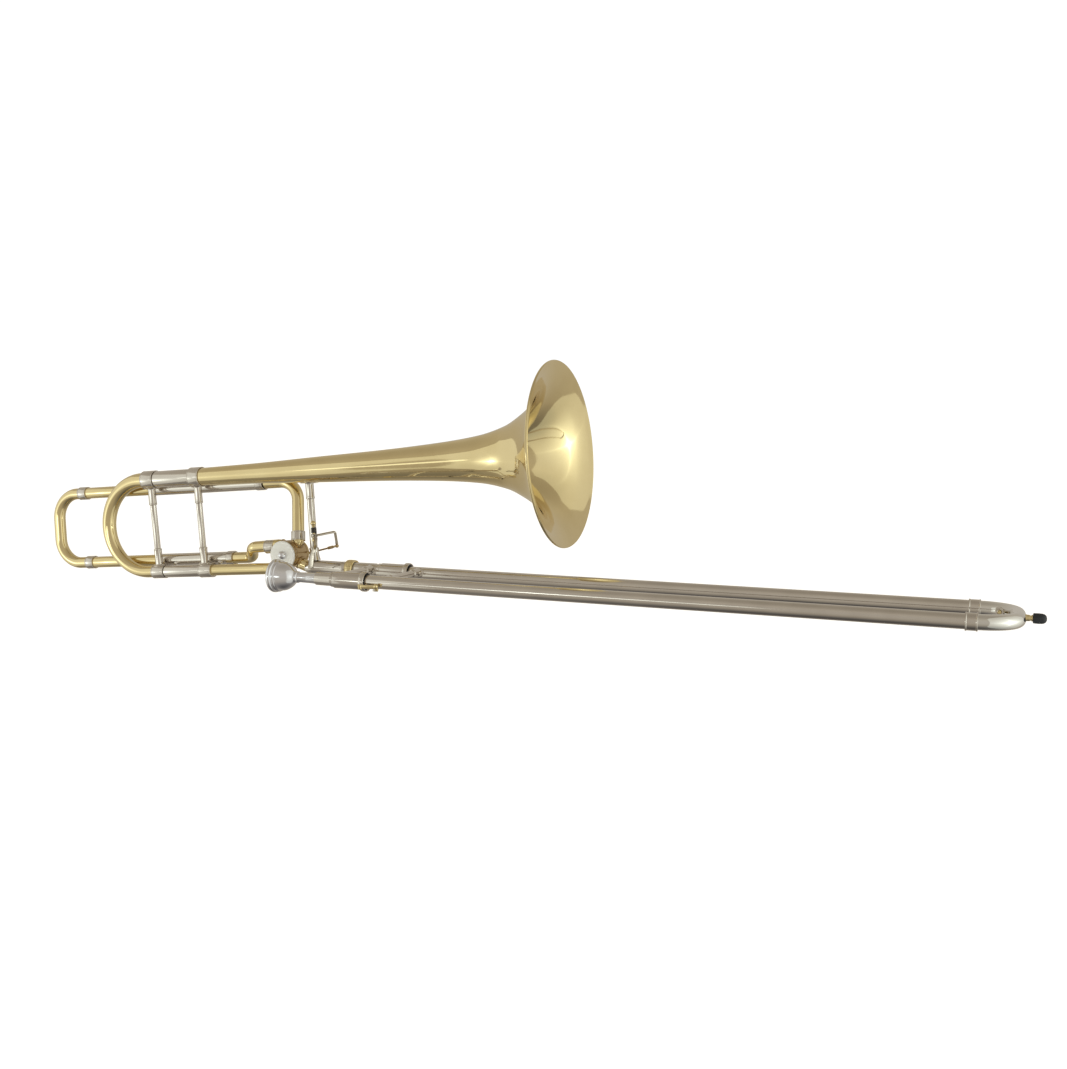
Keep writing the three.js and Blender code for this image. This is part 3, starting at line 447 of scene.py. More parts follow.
def eased(profile):
    """A smooth line through profile points that never overshoots."""
    spans = list(zip(profile, profile[1:]))
    rises = [(r1 - r0) / (x1 - x0) for (x0, r0), (x1, r1) in spans]
    slopes = [rises[0], *[2 * a * b / (a + b) for a, b in zip(rises, rises[1:])], rises[-1] * 1.25]
    out = []
    for ((x0, r0), (x1, r1)), slope0, slope1 in zip(spans, slopes, slopes[1:]):
        width = x1 - x0
        steps = max(4, ceil(hypot(width, r1 - r0) / 3))
        for k in range(steps):
            t = k / steps
            out.append((
                x0 + width * t,
                r0 * (1 + 2 * t) * (1 - t) ** 2 + slope0 * width * t * (1 - t) ** 2
                + r1 * t * t * (3 - 2 * t) + slope1 * width * t * t * (t - 1),
            ))
    return [*out, profile[-1]]


def offset_profile(points, wall):
    out = []
    for i, (x, r) in enumerate(points):
        x0, r0 = points[max(i - 1, 0)]
        x1, r1 = points[min(i + 1, len(points) - 1)]
        length = hypot(x1 - x0, r1 - r0)
        out.append((x + wall * (r1 - r0) / length, r - wall * (x1 - x0) / length))
    return out


def make_bell():
    start, end, rim = reach("bell", BELL)
    bead = 1.5
    lip = 0.3
    skin = [(x + start - BELL_PROFILE[0][0], r) for x, r in eased((*BELL_PROFILE, (292.25, 105.6)))]
    inside = [point for point in offset_profile(skin, TUBE_WALL) if point[1] < rim - 2.6]
    inside.append((end - lip, rim - 0.7))
    outside = [point for point in skin if point[1] < rim - 3.3]
    centre = Vector((end - bead - lip, rim - bead))
    roll = [(centre.x + bead * cos(a), centre.y + bead * sin(a)) for a in angles_from(222, 40, 12)]
    loop = outside + roll + inside[::-1]
    piece("bell_flare", turned(loop, 176, ring=True), BELL, BRASS, "bell_section", "bell", sharp=60)


def make_bell_tubes():
    body = "bell_section"
    fitted("bell_joint_ferrule", "bell_ferrule", BELL, body, rolled_sleeve, 1.1)
    fitted("bell_outer_sleeve", "bell_sleeve", BELL, body, sleeve)
    fitted("gooseneck_outer_sleeve", "gooseneck_sleeve", NECK, body, sleeve)
    fitted("gooseneck_joint_ferrule", "gooseneck_ferrule", NECK, body, rolled_sleeve,
           bore=TUBE_RADIUS + 0.04)


# --- valve

PORTS = {"f_outlet": 140, "f_inlet": 50, "receiver": -40, "gooseneck": -130}
ARM_REST = -8  # degrees
ARM_LENGTH = 12


def port(name, distance):
    """The point on a valve port's axis at a distance from the rotor's."""
    angle = radians(PORTS[name])
    return Vector((VALVE_AT[0] + distance * cos(angle), -1, VALVE_AT[2] + distance * sin(angle)))


def turned_about_y(profile, sides=96):
    """Turns (y, r) points about the Y axis."""
    return moved(turned(profile, sides), QUARTER)


def lathe_about_y(loop, rounding=0.3, sides=96):
    return moved(lathe(loop, rounding, sides), QUARTER)


def puck(low, high, radius, rounding=0.25, sides=32):
    """A solid disc between two heights along the Y axis."""
    profile = [(low, 0), (low, radius), (high, radius), (high, 0)]
    return turned_about_y(softened(profile, rounding), sides)


def collar(name, near, far, radius):
    """A short collar on a valve port, between two distances from the rotor's axis."""
    start = port(name, near)
    end = port(name, far)
    return laid(sleeve(0, (end - start).length, radius, radius - 1, 0.3, 56), start, end)


def make_valve():
    low, high, radius = reach("valve_casing", VALVE @ QUARTER)
    wall = lathe_about_y([(low, radius), (high, radius), (high, radius - 2.3), (low, radius - 2.3)])
    bead = [(-0.9, -0.4), (-0.6, 0.45), (0.6, 0.45), (0.9, -0.4)]
    rings = [lathe_about_y([(y + a, radius + b) for a, b in bead]) for y in (low + 5.5, high - 2.2)]
    casing = moved(merged(wall, *rings), Matrix.Translation(VALVE_AT))
    collars = [collar(name, 16.2, 19.6, 8.6) for name in PORTS]
    piece("valve_housing", merged(casing, *collars), NECK, AGED_BRASS, "bell_section", "valve_casing")

    cap_radius = reach("valve_cap", VALVE @ QUARTER)[2]
    boss = 5.6
    face = low - 3.2
    disc = turned_about_y(softened([
        (face, 0), (face, cap_radius - 1), (face + 0.5, cap_radius - 0.2), (face + 1.3, cap_radius - 0.2),
        (face + 1.3, 0),
    ], 0.4, steps=4))
    piece("valve_cap_disc", disc, VALVE, SATIN, "bell_section", "valve_cap")
    skirt = knurled_skirt(face + 1.3, low + 4, cap_radius)
    piece("valve_cap_skirt", skirt, VALVE, AGED_BRASS, "bell_section")
    dome = turned_about_y([
        (face + 0.5 - 6.1 * sin(a), boss * cos(a)) for a in angles_from(0, 90, 14)
    ] + [(face + 0.5, 0)])
    piece("valve_cap_boss", dome, VALVE, SILVER, "bell_section")
    make_back_plate(high, radius)


def knurled_skirt(front, back, radius):
    """The ring of a screwed cap, with fine ribs round it."""
    stations = [
        (front, 0, 0), (front + 0.8, 0, 0), (front + 1.1, -0.3, 0), (front + 1.4, 0, 1),
        (back - 0.6, 0, 1), (back - 0.2, -0.5, 0),
    ]
    return moved(ribbed(stations, radius, radius - 0.55, 40, 0.35), QUARTER)


def ribbed(stations, radius, bore, ribs, depth):
    """A ring with ribs along it. Stations are (x, rise, 1 where it is ribbed)."""
    around = ribs * 6
    angles = [2 * pi * k / around for k in range(around)]
    vertices = []
    for x, rise, has_ribs in stations:
        for angle in angles:
            r = radius + rise - (depth * abs(sin(ribs * angle / 2)) if has_ribs else 0)
            vertices.append((x, r * cos(angle), r * sin(angle)))
    for x in (stations[-1][0], stations[0][0]):
        vertices.extend([(x, a, b) for a, b in circle(bore, around)])
    rows = [list(range(start, start + around)) for start in range(0, len(vertices), around)]
    faces = []
    for row, next_row in zip(rows, rows[1:] + rows[:1]):
        faces.extend(bridged(row, next_row))
    return vertices, faces


def make_back_plate(high, radius):
    """The rear bearing plate, with the two corks that stop the arm."""
    bearing = lathe_about_y([
        (high + 0.3, 3.4), (high + 0.3, radius), (high + 1.8, radius - 0.1), (high + 1.8, 8.6),
        (high + 1.2, 8), (high + 1.2, 5.8), (high + 2.4, 5.2), (high + 2.4, 3.4),
    ])
    posts = []
    for name, angle in (("stop_cork_open", ARM_REST + 30), ("stop_cork_shut", ARM_REST - 120)):
        turn = radians(angle)
        spot = Matrix.Translation((9 * cos(turn), 0, 9 * sin(turn)))
        posts.append(moved(puck(high + 1.2, high + 2.2, 2.6), spot))
        piece(name, moved(puck(high + 2, high + 6.4, 2), spot), VALVE, CORK, "bell_section")
    piece("valve_plate", merged(bearing, *posts), VALVE, BRASS, "bell_section", "valve_back_plate")


def make_stop_arm():
    start = reach("stop_arm", VALVE @ QUARTER)[0]
    turn = radians(ARM_REST)
    hub = puck(start, start + 3.3, 4.5, 0.5, 64)
    screw = turned_about_y(softened([
        (start + 3.1, 0), (start + 3.1, 2.2), (start + 4, 1.9), (start + 4, 0),
    ], 0.3), 48)
    spine = [
        Vector((ARM_LENGTH * t * cos(turn), start + 1.8, ARM_LENGTH * t * sin(turn)))
        for t in (0.1, 0.4, 0.7, 1)
    ]
    arm = lofted(spine, [oval(1, w) for w in (2.6, 2.3, 2, 1.9)])
    pad = puck(start + 0.6, start + 3, 2.6, 0.3, 40)
    pad = moved(pad, Matrix.Translation((ARM_LENGTH * cos(turn), 0, ARM_LENGTH * sin(turn))))
    piece("valve_stop_arm", merged(hub, screw, arm, pad), VALVE, NICKEL, "rotor", "stop_arm")


def oval(half_a, half_b, sides=20):
    """A rounded rectangle's outline."""
    return [
        (copysign(abs(c) ** 0.5, c) * half_a, copysign(abs(s) ** 0.5, s) * half_b)
        for c, s in circle(1, sides)
    ]


# --- tubes of the bell section

RISER_TOP = Vector((-76.2, *F_UPPER_AT.yz))


def from_slide(x, y, z):
    """A point given in the slide's frame, in the gooseneck's."""
    return NECK.inverted() @ (FAR @ Vector((x, y, z)))


def make_gooseneck():
    corners = [(-211.5, 0, 0), (-120, 0, 0), port("gooseneck", 23.5), port("gooseneck", 17.6)]
    bell_tube("gooseneck_tube", route(corners, [60, 16]), TUBE_RADIUS, "gooseneck")


def make_receiver():
    corners = [port("receiver", 17.4), port("receiver", 20.5), from_slide(-57, 0, 0), from_slide(-50, 0, 0)]
    bell_tube("receiver_neck", route(corners, [8.5, 8.5]), TUBE_RADIUS, "receiver_knuckle")
    start, end, radius = reach("receiver", FAR)
    loop = [
        (start - 5, radius - 2.2), (start - 5, radius - 1.6), (start + 2, radius), (start + 6, radius),
        (start + 6.3, radius - 0.25), (end - 6.6, radius - 0.25), (end - 6.3, radius), (end, radius),
        (end, radius - 1.2), (start + 2, radius - 1.2), (start - 4, radius - 2.2),
    ]
    piece("slide_receiver", lathe(loop), FAR, NICKEL, "bell_section", "receiver")


def f_sleeve_shape(start, end, shoulder, radius):
    """An outer sleeve with a ferrule of the given radius on its right end."""
    bore = F_RADIUS + 0.1
    return lathe([
        (start, bore), (start, F_SLEEVE_RADIUS), (start + 0.9, F_SLEEVE_RADIUS),
        (shoulder - 0.5, F_SLEEVE_RADIUS),
        *lipped(shoulder, end, radius, [(0, 0.1), (0.9, 0), (1.1, 0.3), (1.5, 0.3), (1.7, 0.05)]),
        (end, bore),
    ], 0.2, 80)


def riser_point(height):
    foot = port("f_inlet", 19.5)
    return foot.lerp(RISER_TOP, (height - foot.z) / (RISER_TOP.z - foot.z))


def straight_ferrule(name, start, end, radius, wall):
    start = Vector(start)
    end = Vector(end)
    shape = rolled_sleeve(0, (end - start).length, radius, radius - wall, 72)
    piece(name, laid(shape, start, end), NECK, NICKEL, "bell_section")


def bell_tube(name, path, radius, node_name):
    piece(name, pipe(path, radius), NECK, BRASS, "bell_section", node_name)


def make_f_tubes():
    knee = route([port("f_inlet", 17.4), port("f_inlet", 19.5), riser_point(40)], [9])
    bell_tube("f_inlet_knee", knee, F_RADIUS - 0.4, "f_inlet_knuckle")
    straight_ferrule("f_riser_ferrule", riser_point(34.5), riser_point(45.8), 8.9, 1.5)
    riser = route([riser_point(44.5), RISER_TOP, (-124.6, *F_UPPER_AT.yz)], [28])
    bell_tube("f_riser_tube", riser, F_RADIUS, "f_upper_tube")

    lower = F_LOWER_AT.yz
    outlet = route(
        [port("f_outlet", 17.4), port("f_outlet", 18.2), (-139.5, 0, 28), (-152, *lower), (-181.5, *lower)],
        [9, 12, 12],
    )
    bell_tube("f_outlet_tube", outlet, F_RADIUS - 0.2, "f_outlet_elbow")
    straight_ferrule("f_outlet_ferrule", (-117, -0.4, 28.1), (-103, -0.7, 28.2), 8.8, 1.4)

    for line, place, ferrule_width in (("upper", F_UPPER, 11.9), ("lower", F_LOWER, 9.8)):
        node_name = f"f_{line}_sleeve"
        start, end, radius = reach(node_name, place)
        shape = f_sleeve_shape(start, end, end - ferrule_width, radius)
        piece(f"f_outer_sleeve_{line}", shape, place, NICKEL, "bell_section", node_name)


def make_f_struts():
    for line, base, aim in (("upper", BELL, F_UPPER_AT), ("lower", NECK, F_LOWER_AT)):
        for end in ("rear", "front"):
            name = f"f_brace_{line}_{end}"
            points = local_points(name, base)
            near = Vector((halfway([p.x for p in points]), 0, 0))
            aim_z = aim.z - (LINE_GAP if line == "upper" else 0)
            along = (Vector((near.x, aim.y, aim_z)) - near).normalized()
            distances = [(p - near).dot(along) for p in points]
            start = near + along * (min(distances) - 0.6)
            stop = near + along * (max(distances) + 0.4)
            shape = turned_between(start, stop, [
                (0, 4.3), (0.12, 3.9), (0.3, 2.7), (0.7, 2.7), (0.88, 3.9), (1, 4.3),
            ])
            piece(f"f_strut_{line}_{end}", shape, base, NICKEL, "bell_section", name)


# --- braces between the main lines


def plate(rows, columns, point, closed_ends=False):
    """A thin curved plate. point gives a vertex for a layer, 0 or 1, and two shares from -1 to 1."""
    row = columns + 1
    step = (rows + 1) * row
    vertices = [
        point(layer, 2 * i / rows - 1, 2 * k / columns - 1)
        for layer in (0, 1) for i in range(rows + 1) for k in range(row)
    ]
    faces = []
    for base in (0, step):
        for i in range(rows):
            for a in range(base + i * row, base + i * row + columns):
                faces.append((a, a + 1, a + row + 1, a + row))
    for i in range(rows):
        for a in (i * row, i * row + columns):
            faces.append((a, a + row, step + a + row, step + a))
    if closed_ends:
        for i in (0, rows):
            for a in range(i * row, i * row + columns):
                faces.append((a, a + 1, step + a + 1, step + a))
    return vertices, faces


def saddle(x, radius, up, half_length, half_angle, thickness=0.9):
    """A thin curved foot that lies on a tube along X. up is +1 on the tube's top, -1 below it."""
    def point(layer, along, across):
        side = half_angle * sqrt(max(0, 1 - abs(along) ** 1.6)) * across
        edge = 1 - 0.75 * max(abs(along), abs(across)) ** 6
        r = radius + (thickness * edge if layer else -0.05)
        return x + along * half_length, r * sin(side), up * r * cos(side)

    return plate(20, 20, point)


def diamond_foot(x, radius, slope):
    """A diamond plate that follows the underside of the bell's taper."""
    half_length = 13
    half_width = 9

    def point(layer, along, across):
        side = (half_width * (1 - abs(along)) ** 0.8 + 0.25) * across
        r = radius + slope * along * half_length + (1 if layer else -0.05)
        angle = side / radius
        return x + along * half_length, r * sin(angle), LINE_GAP - r * cos(angle)

    return plate(24, 16, point, closed_ends=True)


def make_line_brace(name, body, node_name, bottom_radius, top_radius):
    points = local_points(node_name, NECK)
    bottom_x = halfway([p.x for p in points if p.z < 30])
    top_x = halfway([p.x for p in points if p.z > LINE_GAP - 35])
    bottom = Vector((bottom_x, 0, bottom_radius - 0.6))
    top = Vector((top_x, 0, LINE_GAP - top_radius + 0.6))
    stations = [
        (0, 5.6), (0.012, 5), (0.195, 5), (0.2, 5.3), (0.212, 5.3), (0.216, 3.95),
        (0.784, 3.95), (0.788, 5.3), (0.8, 5.3), (0.805, 5), (0.988, 5), (1, 5.6),
    ]
    post = turned_between(bottom, top, stations, 64)
    low_foot = saddle(bottom_x, bottom_radius, 1, 8.5, radians(46))
    high_foot = saddle(top_x, top_radius, -1, 8.5, radians(38))
    high_foot = moved(high_foot, Matrix.Translation((0, 0, LINE_GAP)))
    piece(name, merged(post, low_foot, high_foot), NECK, NICKEL, body, node_name)


HAND_BRACE_X = -47.3


def make_hand_brace():
    bell_radius = 15.7
    bottom = Vector((HAND_BRACE_X, 0, from_slide(HAND_BRACE_X, 0, 8.6).z))
    top = Vector((HAND_BRACE_X, 0, LINE_GAP - bell_radius))
    stations = [
        (0, 7.5), (0.03, 6.6), (0.07, 5.9), (0.13, 5.5), (0.135, 5.9), (0.16, 5.9), (0.165, 4.6),
        (0.79, 4.6), (0.795, 5.5), (0.815, 5.5), (0.82, 5.2), (0.985, 5.2), (1, 6.2),
    ]
    post = turned_between(bottom, top, stations, 64)
    foot = diamond_foot(HAND_BRACE_X, bell_radius, 0.032)
    piece("hand_brace_post", merged(post, foot), NECK, NICKEL, "bell_section", "hand_brace")


# --- tuning slides


def make_tuning_slide():
    body = "tuning_slide"
    bend_x = -307
    radius = LINE_GAP / 2
    path = u_bend((-296, 0, 0), (-300, 0, LINE_GAP), bend_x - radius, radius - 0.01, 2.5)
    crook = pipe(path, 7.6, end_outer=10, sides=72)
    piece("tuning_crook", crook, NECK, BRASS, body, "tuning_bow")
    for name, place, bore in (("upper", BELL, 10.05), ("lower", NECK, 7.65)):
        fitted(f"tuning_crook_ferrule_{name}", f"tuning_ferrule_{name}", place, body, rolled_sleeve,
               bore=bore)
        fitted(f"tuning_inner_leg_{name}", f"tuning_leg_{name}", place, body, sleeve)
    make_line_brace("tuning_crook_brace", body, "tuning_brace", 9.2, 12.2)


def make_f_tuning_slide():
    body = "f_tuning_slide"
    end = reach("f_tuning_bow", NECK)[0] + F_RADIUS
    path = u_bend((-418, *F_LOWER_AT.yz), (-423.5, *F_UPPER_AT.yz), end, 34, 3)
    piece("f_crook", pipe(path, F_RADIUS, sides=64), NECK, BRASS, body, "f_tuning_bow")
    for name, place, shoulder in (("upper", F_UPPER, -303.5), ("lower", F_LOWER, -296.5)):
        fitted(f"f_crook_ferrule_{name}", f"f_tuning_ferrule_{name}", place, body, rolled_sleeve,
               bore=F_RADIUS + 0.1)
        start, stop, outer = reach(f"f_tuning_leg_{name}", place)
        loop = [
            (start, 6.4), (start, outer), (shoulder, outer), (shoulder + 0.2, outer - 0.3),
            (stop, outer - 0.3), (stop, 6.4),
        ]
        piece(f"f_inner_leg_{name}", lathe(loop, 0.2, 80), place, BRASS, body, f"f_tuning_leg_{name}")


# --- thumb lever and linkage

HINGE = from_slide(-40.5, -13, 41)
CRANK_END = from_slide(-27, 14, 44.3)
CRANK_FOOT = from_slide(-24.7, 14.3, 30)


def make_lever_post():
    below = HINGE + Vector((0, 0, -8))
    top = HINGE + Vector((0, 0, 15))
    pin = turned_between(below, top, [(0, 2.4), (0.06, 2.4), (0.07, 1.6), (1, 1.6)], 32)
    finial = moved(turned(softened([
        (0, 0), (0, 1.9), (1, 2.4), (1.6, 1.7), (2.4, 2.6), (3.6, 3.5), (5, 3.6), (6.4, 2.8),
        (7.4, 1.2), (7.7, 0),
    ], 0.6), 40), Matrix.Translation(HINGE + Vector((0, 0, 10.8))) @ UPRIGHT)
    lug_start = (HAND_BRACE_X + 3.7, -3.2, HINGE.z - 6)
    lug = turned_between(lug_start, HINGE + Vector((0, 0, -6)), [(0, 3.2), (0.2, 2.6), (1, 2.6)], 32)
    knob = ball(HINGE + Vector((0, 0, -6)), 3.1)
    piece("lever_hinge_post", merged(pin, finial, lug, knob), NECK, BRASS, "bell_section", "lever_post")


def make_lever_spring():
    turns = 6
    steps = turns * 20
    points = []
    for k in range(steps + 1):
        angle = 2 * pi * turns * k / steps
        coil = Vector((3 * cos(angle), 3 * sin(angle), 3 + 7 * k / steps))
        points.append(HINGE + coil)
    coil = lofted(points, [circle(0.56, 12)] * len(points))
    piece("lever_coil_spring", coil, NECK, STEEL, "bell_section", "lever_spring")


def make_thumb_lever():
    up = Matrix.Translation(HINGE) @ UPRIGHT
    hub = moved(lathe([(-2.2, 1.9), (-2.2, 3.8), (2.2, 3.8), (2.2, 1.9)], 0.6, 48), up)
    spine = smooth_curve([
        HINGE + Vector((2.6, -2, 0)), from_slide(-34, -20, 38), from_slide(-31.5, -27, 28),
        from_slide(-33, -31, 16), from_slide(-33, -33, 2),
    ], 10)
    shares = [k / (len(spine) - 1) for k in range(len(spine))]
    widths = [4.6 + 1.6 * t if t < 0.72 else 6.8 for t in shares]
    strap = band(spine, widths, 1.6)
    crank_path = route([HINGE + Vector((3, 1, 0)), CRANK_END, CRANK_FOOT], [2.5], 10)
    crank = lofted(crank_path, [oval(1.35, 1.5, 16)] * len(crank_path))
    eye = ball(CRANK_FOOT, 2, 24)
    lever = merged(hub, strap, crank, eye)
    piece("thumb_lever_arm", lever, NECK, WORN_NICKEL, "thumb_lever", "thumb_lever")


def make_link():
    turn = radians(ARM_REST)
    arm_end = Vector((
        VALVE_AT[0] + ARM_LENGTH * cos(turn), 21, VALVE_AT[2] + ARM_LENGTH * sin(turn),
    ))
    open_end = CRANK_FOOT + Vector((0, 0, -3.6))
    shaft = turned_between(arm_end, open_end, [
        (0, 1.4), (0.12, 1.4), (0.14, 1.9), (0.3, 1.9), (0.32, 1.1), (0.68, 1.1), (0.7, 1.9), (0.86, 1.9),
        (0.88, 1.3), (1, 1.3),
    ], 24)
    sockets = [ball(arm_end, 2.3), ball(open_end, 2.4)]
    piece("link_shaft", merged(shaft, *sockets), NECK, AGED_BRASS, "link_rod", "link_rod")


# --- inner slide

RING_WIDTH = 6.8
BARREL_RADIUS = 9.8


def make_lock_nut():
    start, end, radius = reach("lock_nut", FAR)
    lip = [(0, -0.9, 0), (0.3, -0.35, 0), (1.3, -0.35, 0), (1.6, -0.5, 0), (1.9, 0, 1)]
    stations = [(start + x, rise, has_ribs) for x, rise, has_ribs in lip]
    stations += [(end - x, rise, has_ribs) for x, rise, has_ribs in reversed(lip)]
    piece("knurled_lock_nut", ribbed(stations, radius, 9.6, 44, 0.3), FAR, BRASS, "lock_nut", "lock_nut")


def ring_on_barrel(start, end, radius):
    """The collar on the open end of a barrel, as (x, r) points along its outside."""
    return [
        (start, radius - 1.7), (start + 0.9, radius - 0.2), (start + 1.8, radius),
        (end - 1.6, radius), (end - 0.3, radius - 0.35), (end, radius - 0.9),
    ]


def make_inner_slide():
    body = "inner_slide"
    start, end, _ = reach("slide_cone", FAR)
    cone = [
        (start, 6.5), (-8, 7.3), (0.4, 7.3), (0.4, 8.4), (0.8, 8.8), (11.8, 8.8), (12.1, 8.2), (12.7, 8.2),
        (13, 8.8), (22, 8.9), (40, 8.9), (40.2, 8), (end, 8), (end, 7.4), (20, 7.4), (20, 5.9),
        (start, 5.9),
    ]
    piece("slide_cone_tube", lathe(cone, 0.2), FAR, NICKEL, body, "slide_cone")
    for name, place in (("far", FAR), ("near", NEAR)):
        start, end, radius = reach(f"inner_tube_{name}", place)
        shape = sleeve(start, end, radius, radius - 0.7, 0.2, 72)
        piece(f"stocking_{name}", shape, place, CHROME, body, f"inner_tube_{name}")

    start, end, ring = reach("cork_barrel_far", FAR)
    ring_start = end - RING_WIDTH
    loop = [
        (start, 7.2), (start, 9.1), (start + 3.8, 9.1), (start + 4.6, BARREL_RADIUS),
        (ring_start - 0.4, BARREL_RADIUS), *ring_on_barrel(ring_start, end, ring), (end - 0.2, 10.3),
        (end - 3, 8.6), (start + 10, 8.6), (start + 9.6, 7.2),
    ]
    piece("barrel_far", lathe(loop), FAR, NICKEL, body, "cork_barrel_far")
    # painted shade: a near-black ring in the far barrel's mouth, where the gap round the outer tube lies in
    # shadow
    piece("barrel_bumper_far", barrel_mouth_shade(end, 10.25), FAR, RUBBER, body)

    start, end, _ = reach("cork_barrel_near", NEAR)
    ring_start = reach("slide_lock_ring", NEAR)[0]
    loop = [
        (start, 7.2), (start, 9.1), (start + 1, BARREL_RADIUS), (ring_start - 0.3, BARREL_RADIUS),
        (ring_start - 0.3, 9.1), (end, 9.1), (end, 8.6), (start + 15.2, 8.6), (start + 14.2, 7.2),
    ]
    piece("barrel_near", lathe(loop, 0.2), NEAR, NICKEL, body, "cork_barrel_near")
    # painted shade: a near-black ring in the near barrel's mouth, where the gap round the outer tube lies
    # in shadow
    piece("barrel_bumper_near", barrel_mouth_shade(ring_start + RING_WIDTH, 9.2), NEAR, RUBBER, body)

    start, end, ring = reach("mouthpiece_receiver", NEAR)
    loop = [
        (start, 6.9), (start, 7.5), (start + 0.4, 7.7), (end - 3.3, 7.95), (end - 3.2, 8.5),
        (end - 2.9, ring), (end - 1.9, ring), (end - 1.7, 8.2), (end - 1.3, 8.2), (end - 1.1, ring),
        (end, ring), (end, 6.3),
    ]
    piece("mouthpiece_socket", lathe(loop, 0.18), NEAR, NICKEL, body, "mouthpiece_receiver")
    make_slide_brace("grip_brace", "inner_brace", body, 3.8, 9.2)


def barrel_mouth_shade(end, flange):
    """A near-black ring just inside a barrel's mouth, round the outer tube: painted shade for the gap
    there, which lies in shadow.
    """
    loop = [(end - 3.4, 8.4), (end - 1.1, 8.4), (end - 1.1, 7.95), (end - 3.4, 7.95)]
    ledge = [(end - 3, 8.4), (end - 1, 8.4), (end - 1, flange), (end - 1.2, flange)]
    return merged(turned(loop, ring=True), turned(ledge, ring=True))


def make_slide_brace(name, node_name, body, rod_radius, tube_radius):
    """A brace across the hand slide with a round flange clasping each tube."""
    low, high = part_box(node_name)
    middle = (low + high) * 500
    start = Vector((middle.x, -SLIDE_SPACING + tube_radius - 0.8, middle.z))
    stop = Vector((middle.x, -tube_radius + 0.8, middle.z))
    stations = [(share, rod_radius + extra) for share, extra in (
        (0, 1.9), (0.03, 1.3), (0.13, 0.9), (0.14, 1.3), (0.165, 1.3), (0.175, 0), (0.825, 0),
        (0.835, 1.3), (0.86, 1.3), (0.87, 0.9), (0.97, 1.3), (1, 1.9),
    )]
    piece(name, turned_between(start, stop, stations, 56), FAR, NICKEL, body, node_name)


STUD_X = 93.8
COLLAR_RADIUS = 11.7
HOOK_ANGLE = 110
LOCK_TURN = 24


def make_slide_lock():
    start = reach("slide_lock_ring", NEAR)[0]
    end = start + RING_WIDTH
    outside = ring_on_barrel(start, end, COLLAR_RADIUS)
    outside[0] = (start, COLLAR_RADIUS - 0.9)
    ring = lathe([(start, 9.4), *outside, (end - 0.1, 10.3), (end - 1.2, 9.4)])
    spine = [Vector((x, 0, z)) for x, z in ((start + 1.2, 12), (start + 6, 12.5), (STUD_X + 5.4, 12.5))]
    finger = lofted(spine, [oval(1.2, 2.3)] * 3)
    hook_spine = [Vector((STUD_X + 5.8, y, z)) for y, z in ((1.5, 11.4), (-1.8, 11.2), (-4.7, 10.9))]
    hook = lofted(hook_spine, [oval(1.9, 1.5)] * 3)
    tip = ball(hook_spine[0] + Vector((0, -0.6, 0.2)), 2.8, 28)
    screw = moved(
        turned(softened([(-2.4, 0), (-2.4, 2.3), (2.2, 2.3), (2.6, 1.9), (2.6, 0)], 0.4), 36),
        Matrix.Translation((start + 3.4, -0.6, 12.6)) @ QUARTER.inverted(),
    )
    grip = moved(merged(finger, hook, tip, screw), Matrix.Rotation(radians(HOOK_ANGLE), 4, "X"))
    piece("slide_lock_collar", ring, NEAR, NICKEL, "slide_lock", "slide_lock_ring")
    piece("slide_lock_hook", grip, NEAR, BRASS, "slide_lock")


# --- mouthpiece


def make_mouthpiece():
    start, end, _ = reach("mouthpiece", NEAR)
    outside = [
        (-42.8, 13.4), (-43.5, 14.1), (-43.95, 15.2), (start, 16.2), (-43.9, 17.3), (-43.5, 18.4),
        (-42.7, 19.2), (-41.6, 19.65), (-40.2, 19.7), (-39, 19.6), (-38.3, 19), (-37.9, 18.1),
        (-37.5, 17.8), (-37, 18.1), (-36.6, 18.6), (-35.9, 18.8), (-34.9, 18.7), (-33.9, 18.3),
        (-33.3, 17.6), (-32.9, 17.2), (-32.2, 17.2), (-30, 17.1), (-28, 16.8), (-26, 16.3), (-24, 15.5),
        (-22, 14.4), (-20, 13.1), (-18, 11.6), (-16.4, 10), (-15, 8.4), (-14, 7.2), (-13.2, 6.6),
        (-12.4, 6.3), (-11.6, 6.5), (-11.2, 6.9), (-9.8, 6.9), (-9.3, 6.3), (-8.5, 5.9), (5, 6.15),
        (15, 6.5), (end, 5.4),
    ]
    inside = [
        (end, 4.9), (8, 4.2), (-8, 3.5), (-11, 3.4), (-13, 3.6), (-15.5, 4.3), (-18, 5.1), (-21, 6.5),
        (-24, 7.9), (-27, 9.1), (-30, 10.1), (-33, 10.9), (-36, 11.6), (-39, 12.2), (-41.5, 12.8),
    ]
    shape = turned(outside + inside, 128, ring=True)
    piece("mouthpiece_cup", shape, NEAR, SILVER, "mouthpiece", "mouthpiece", sharp=50)


# --- outer slide


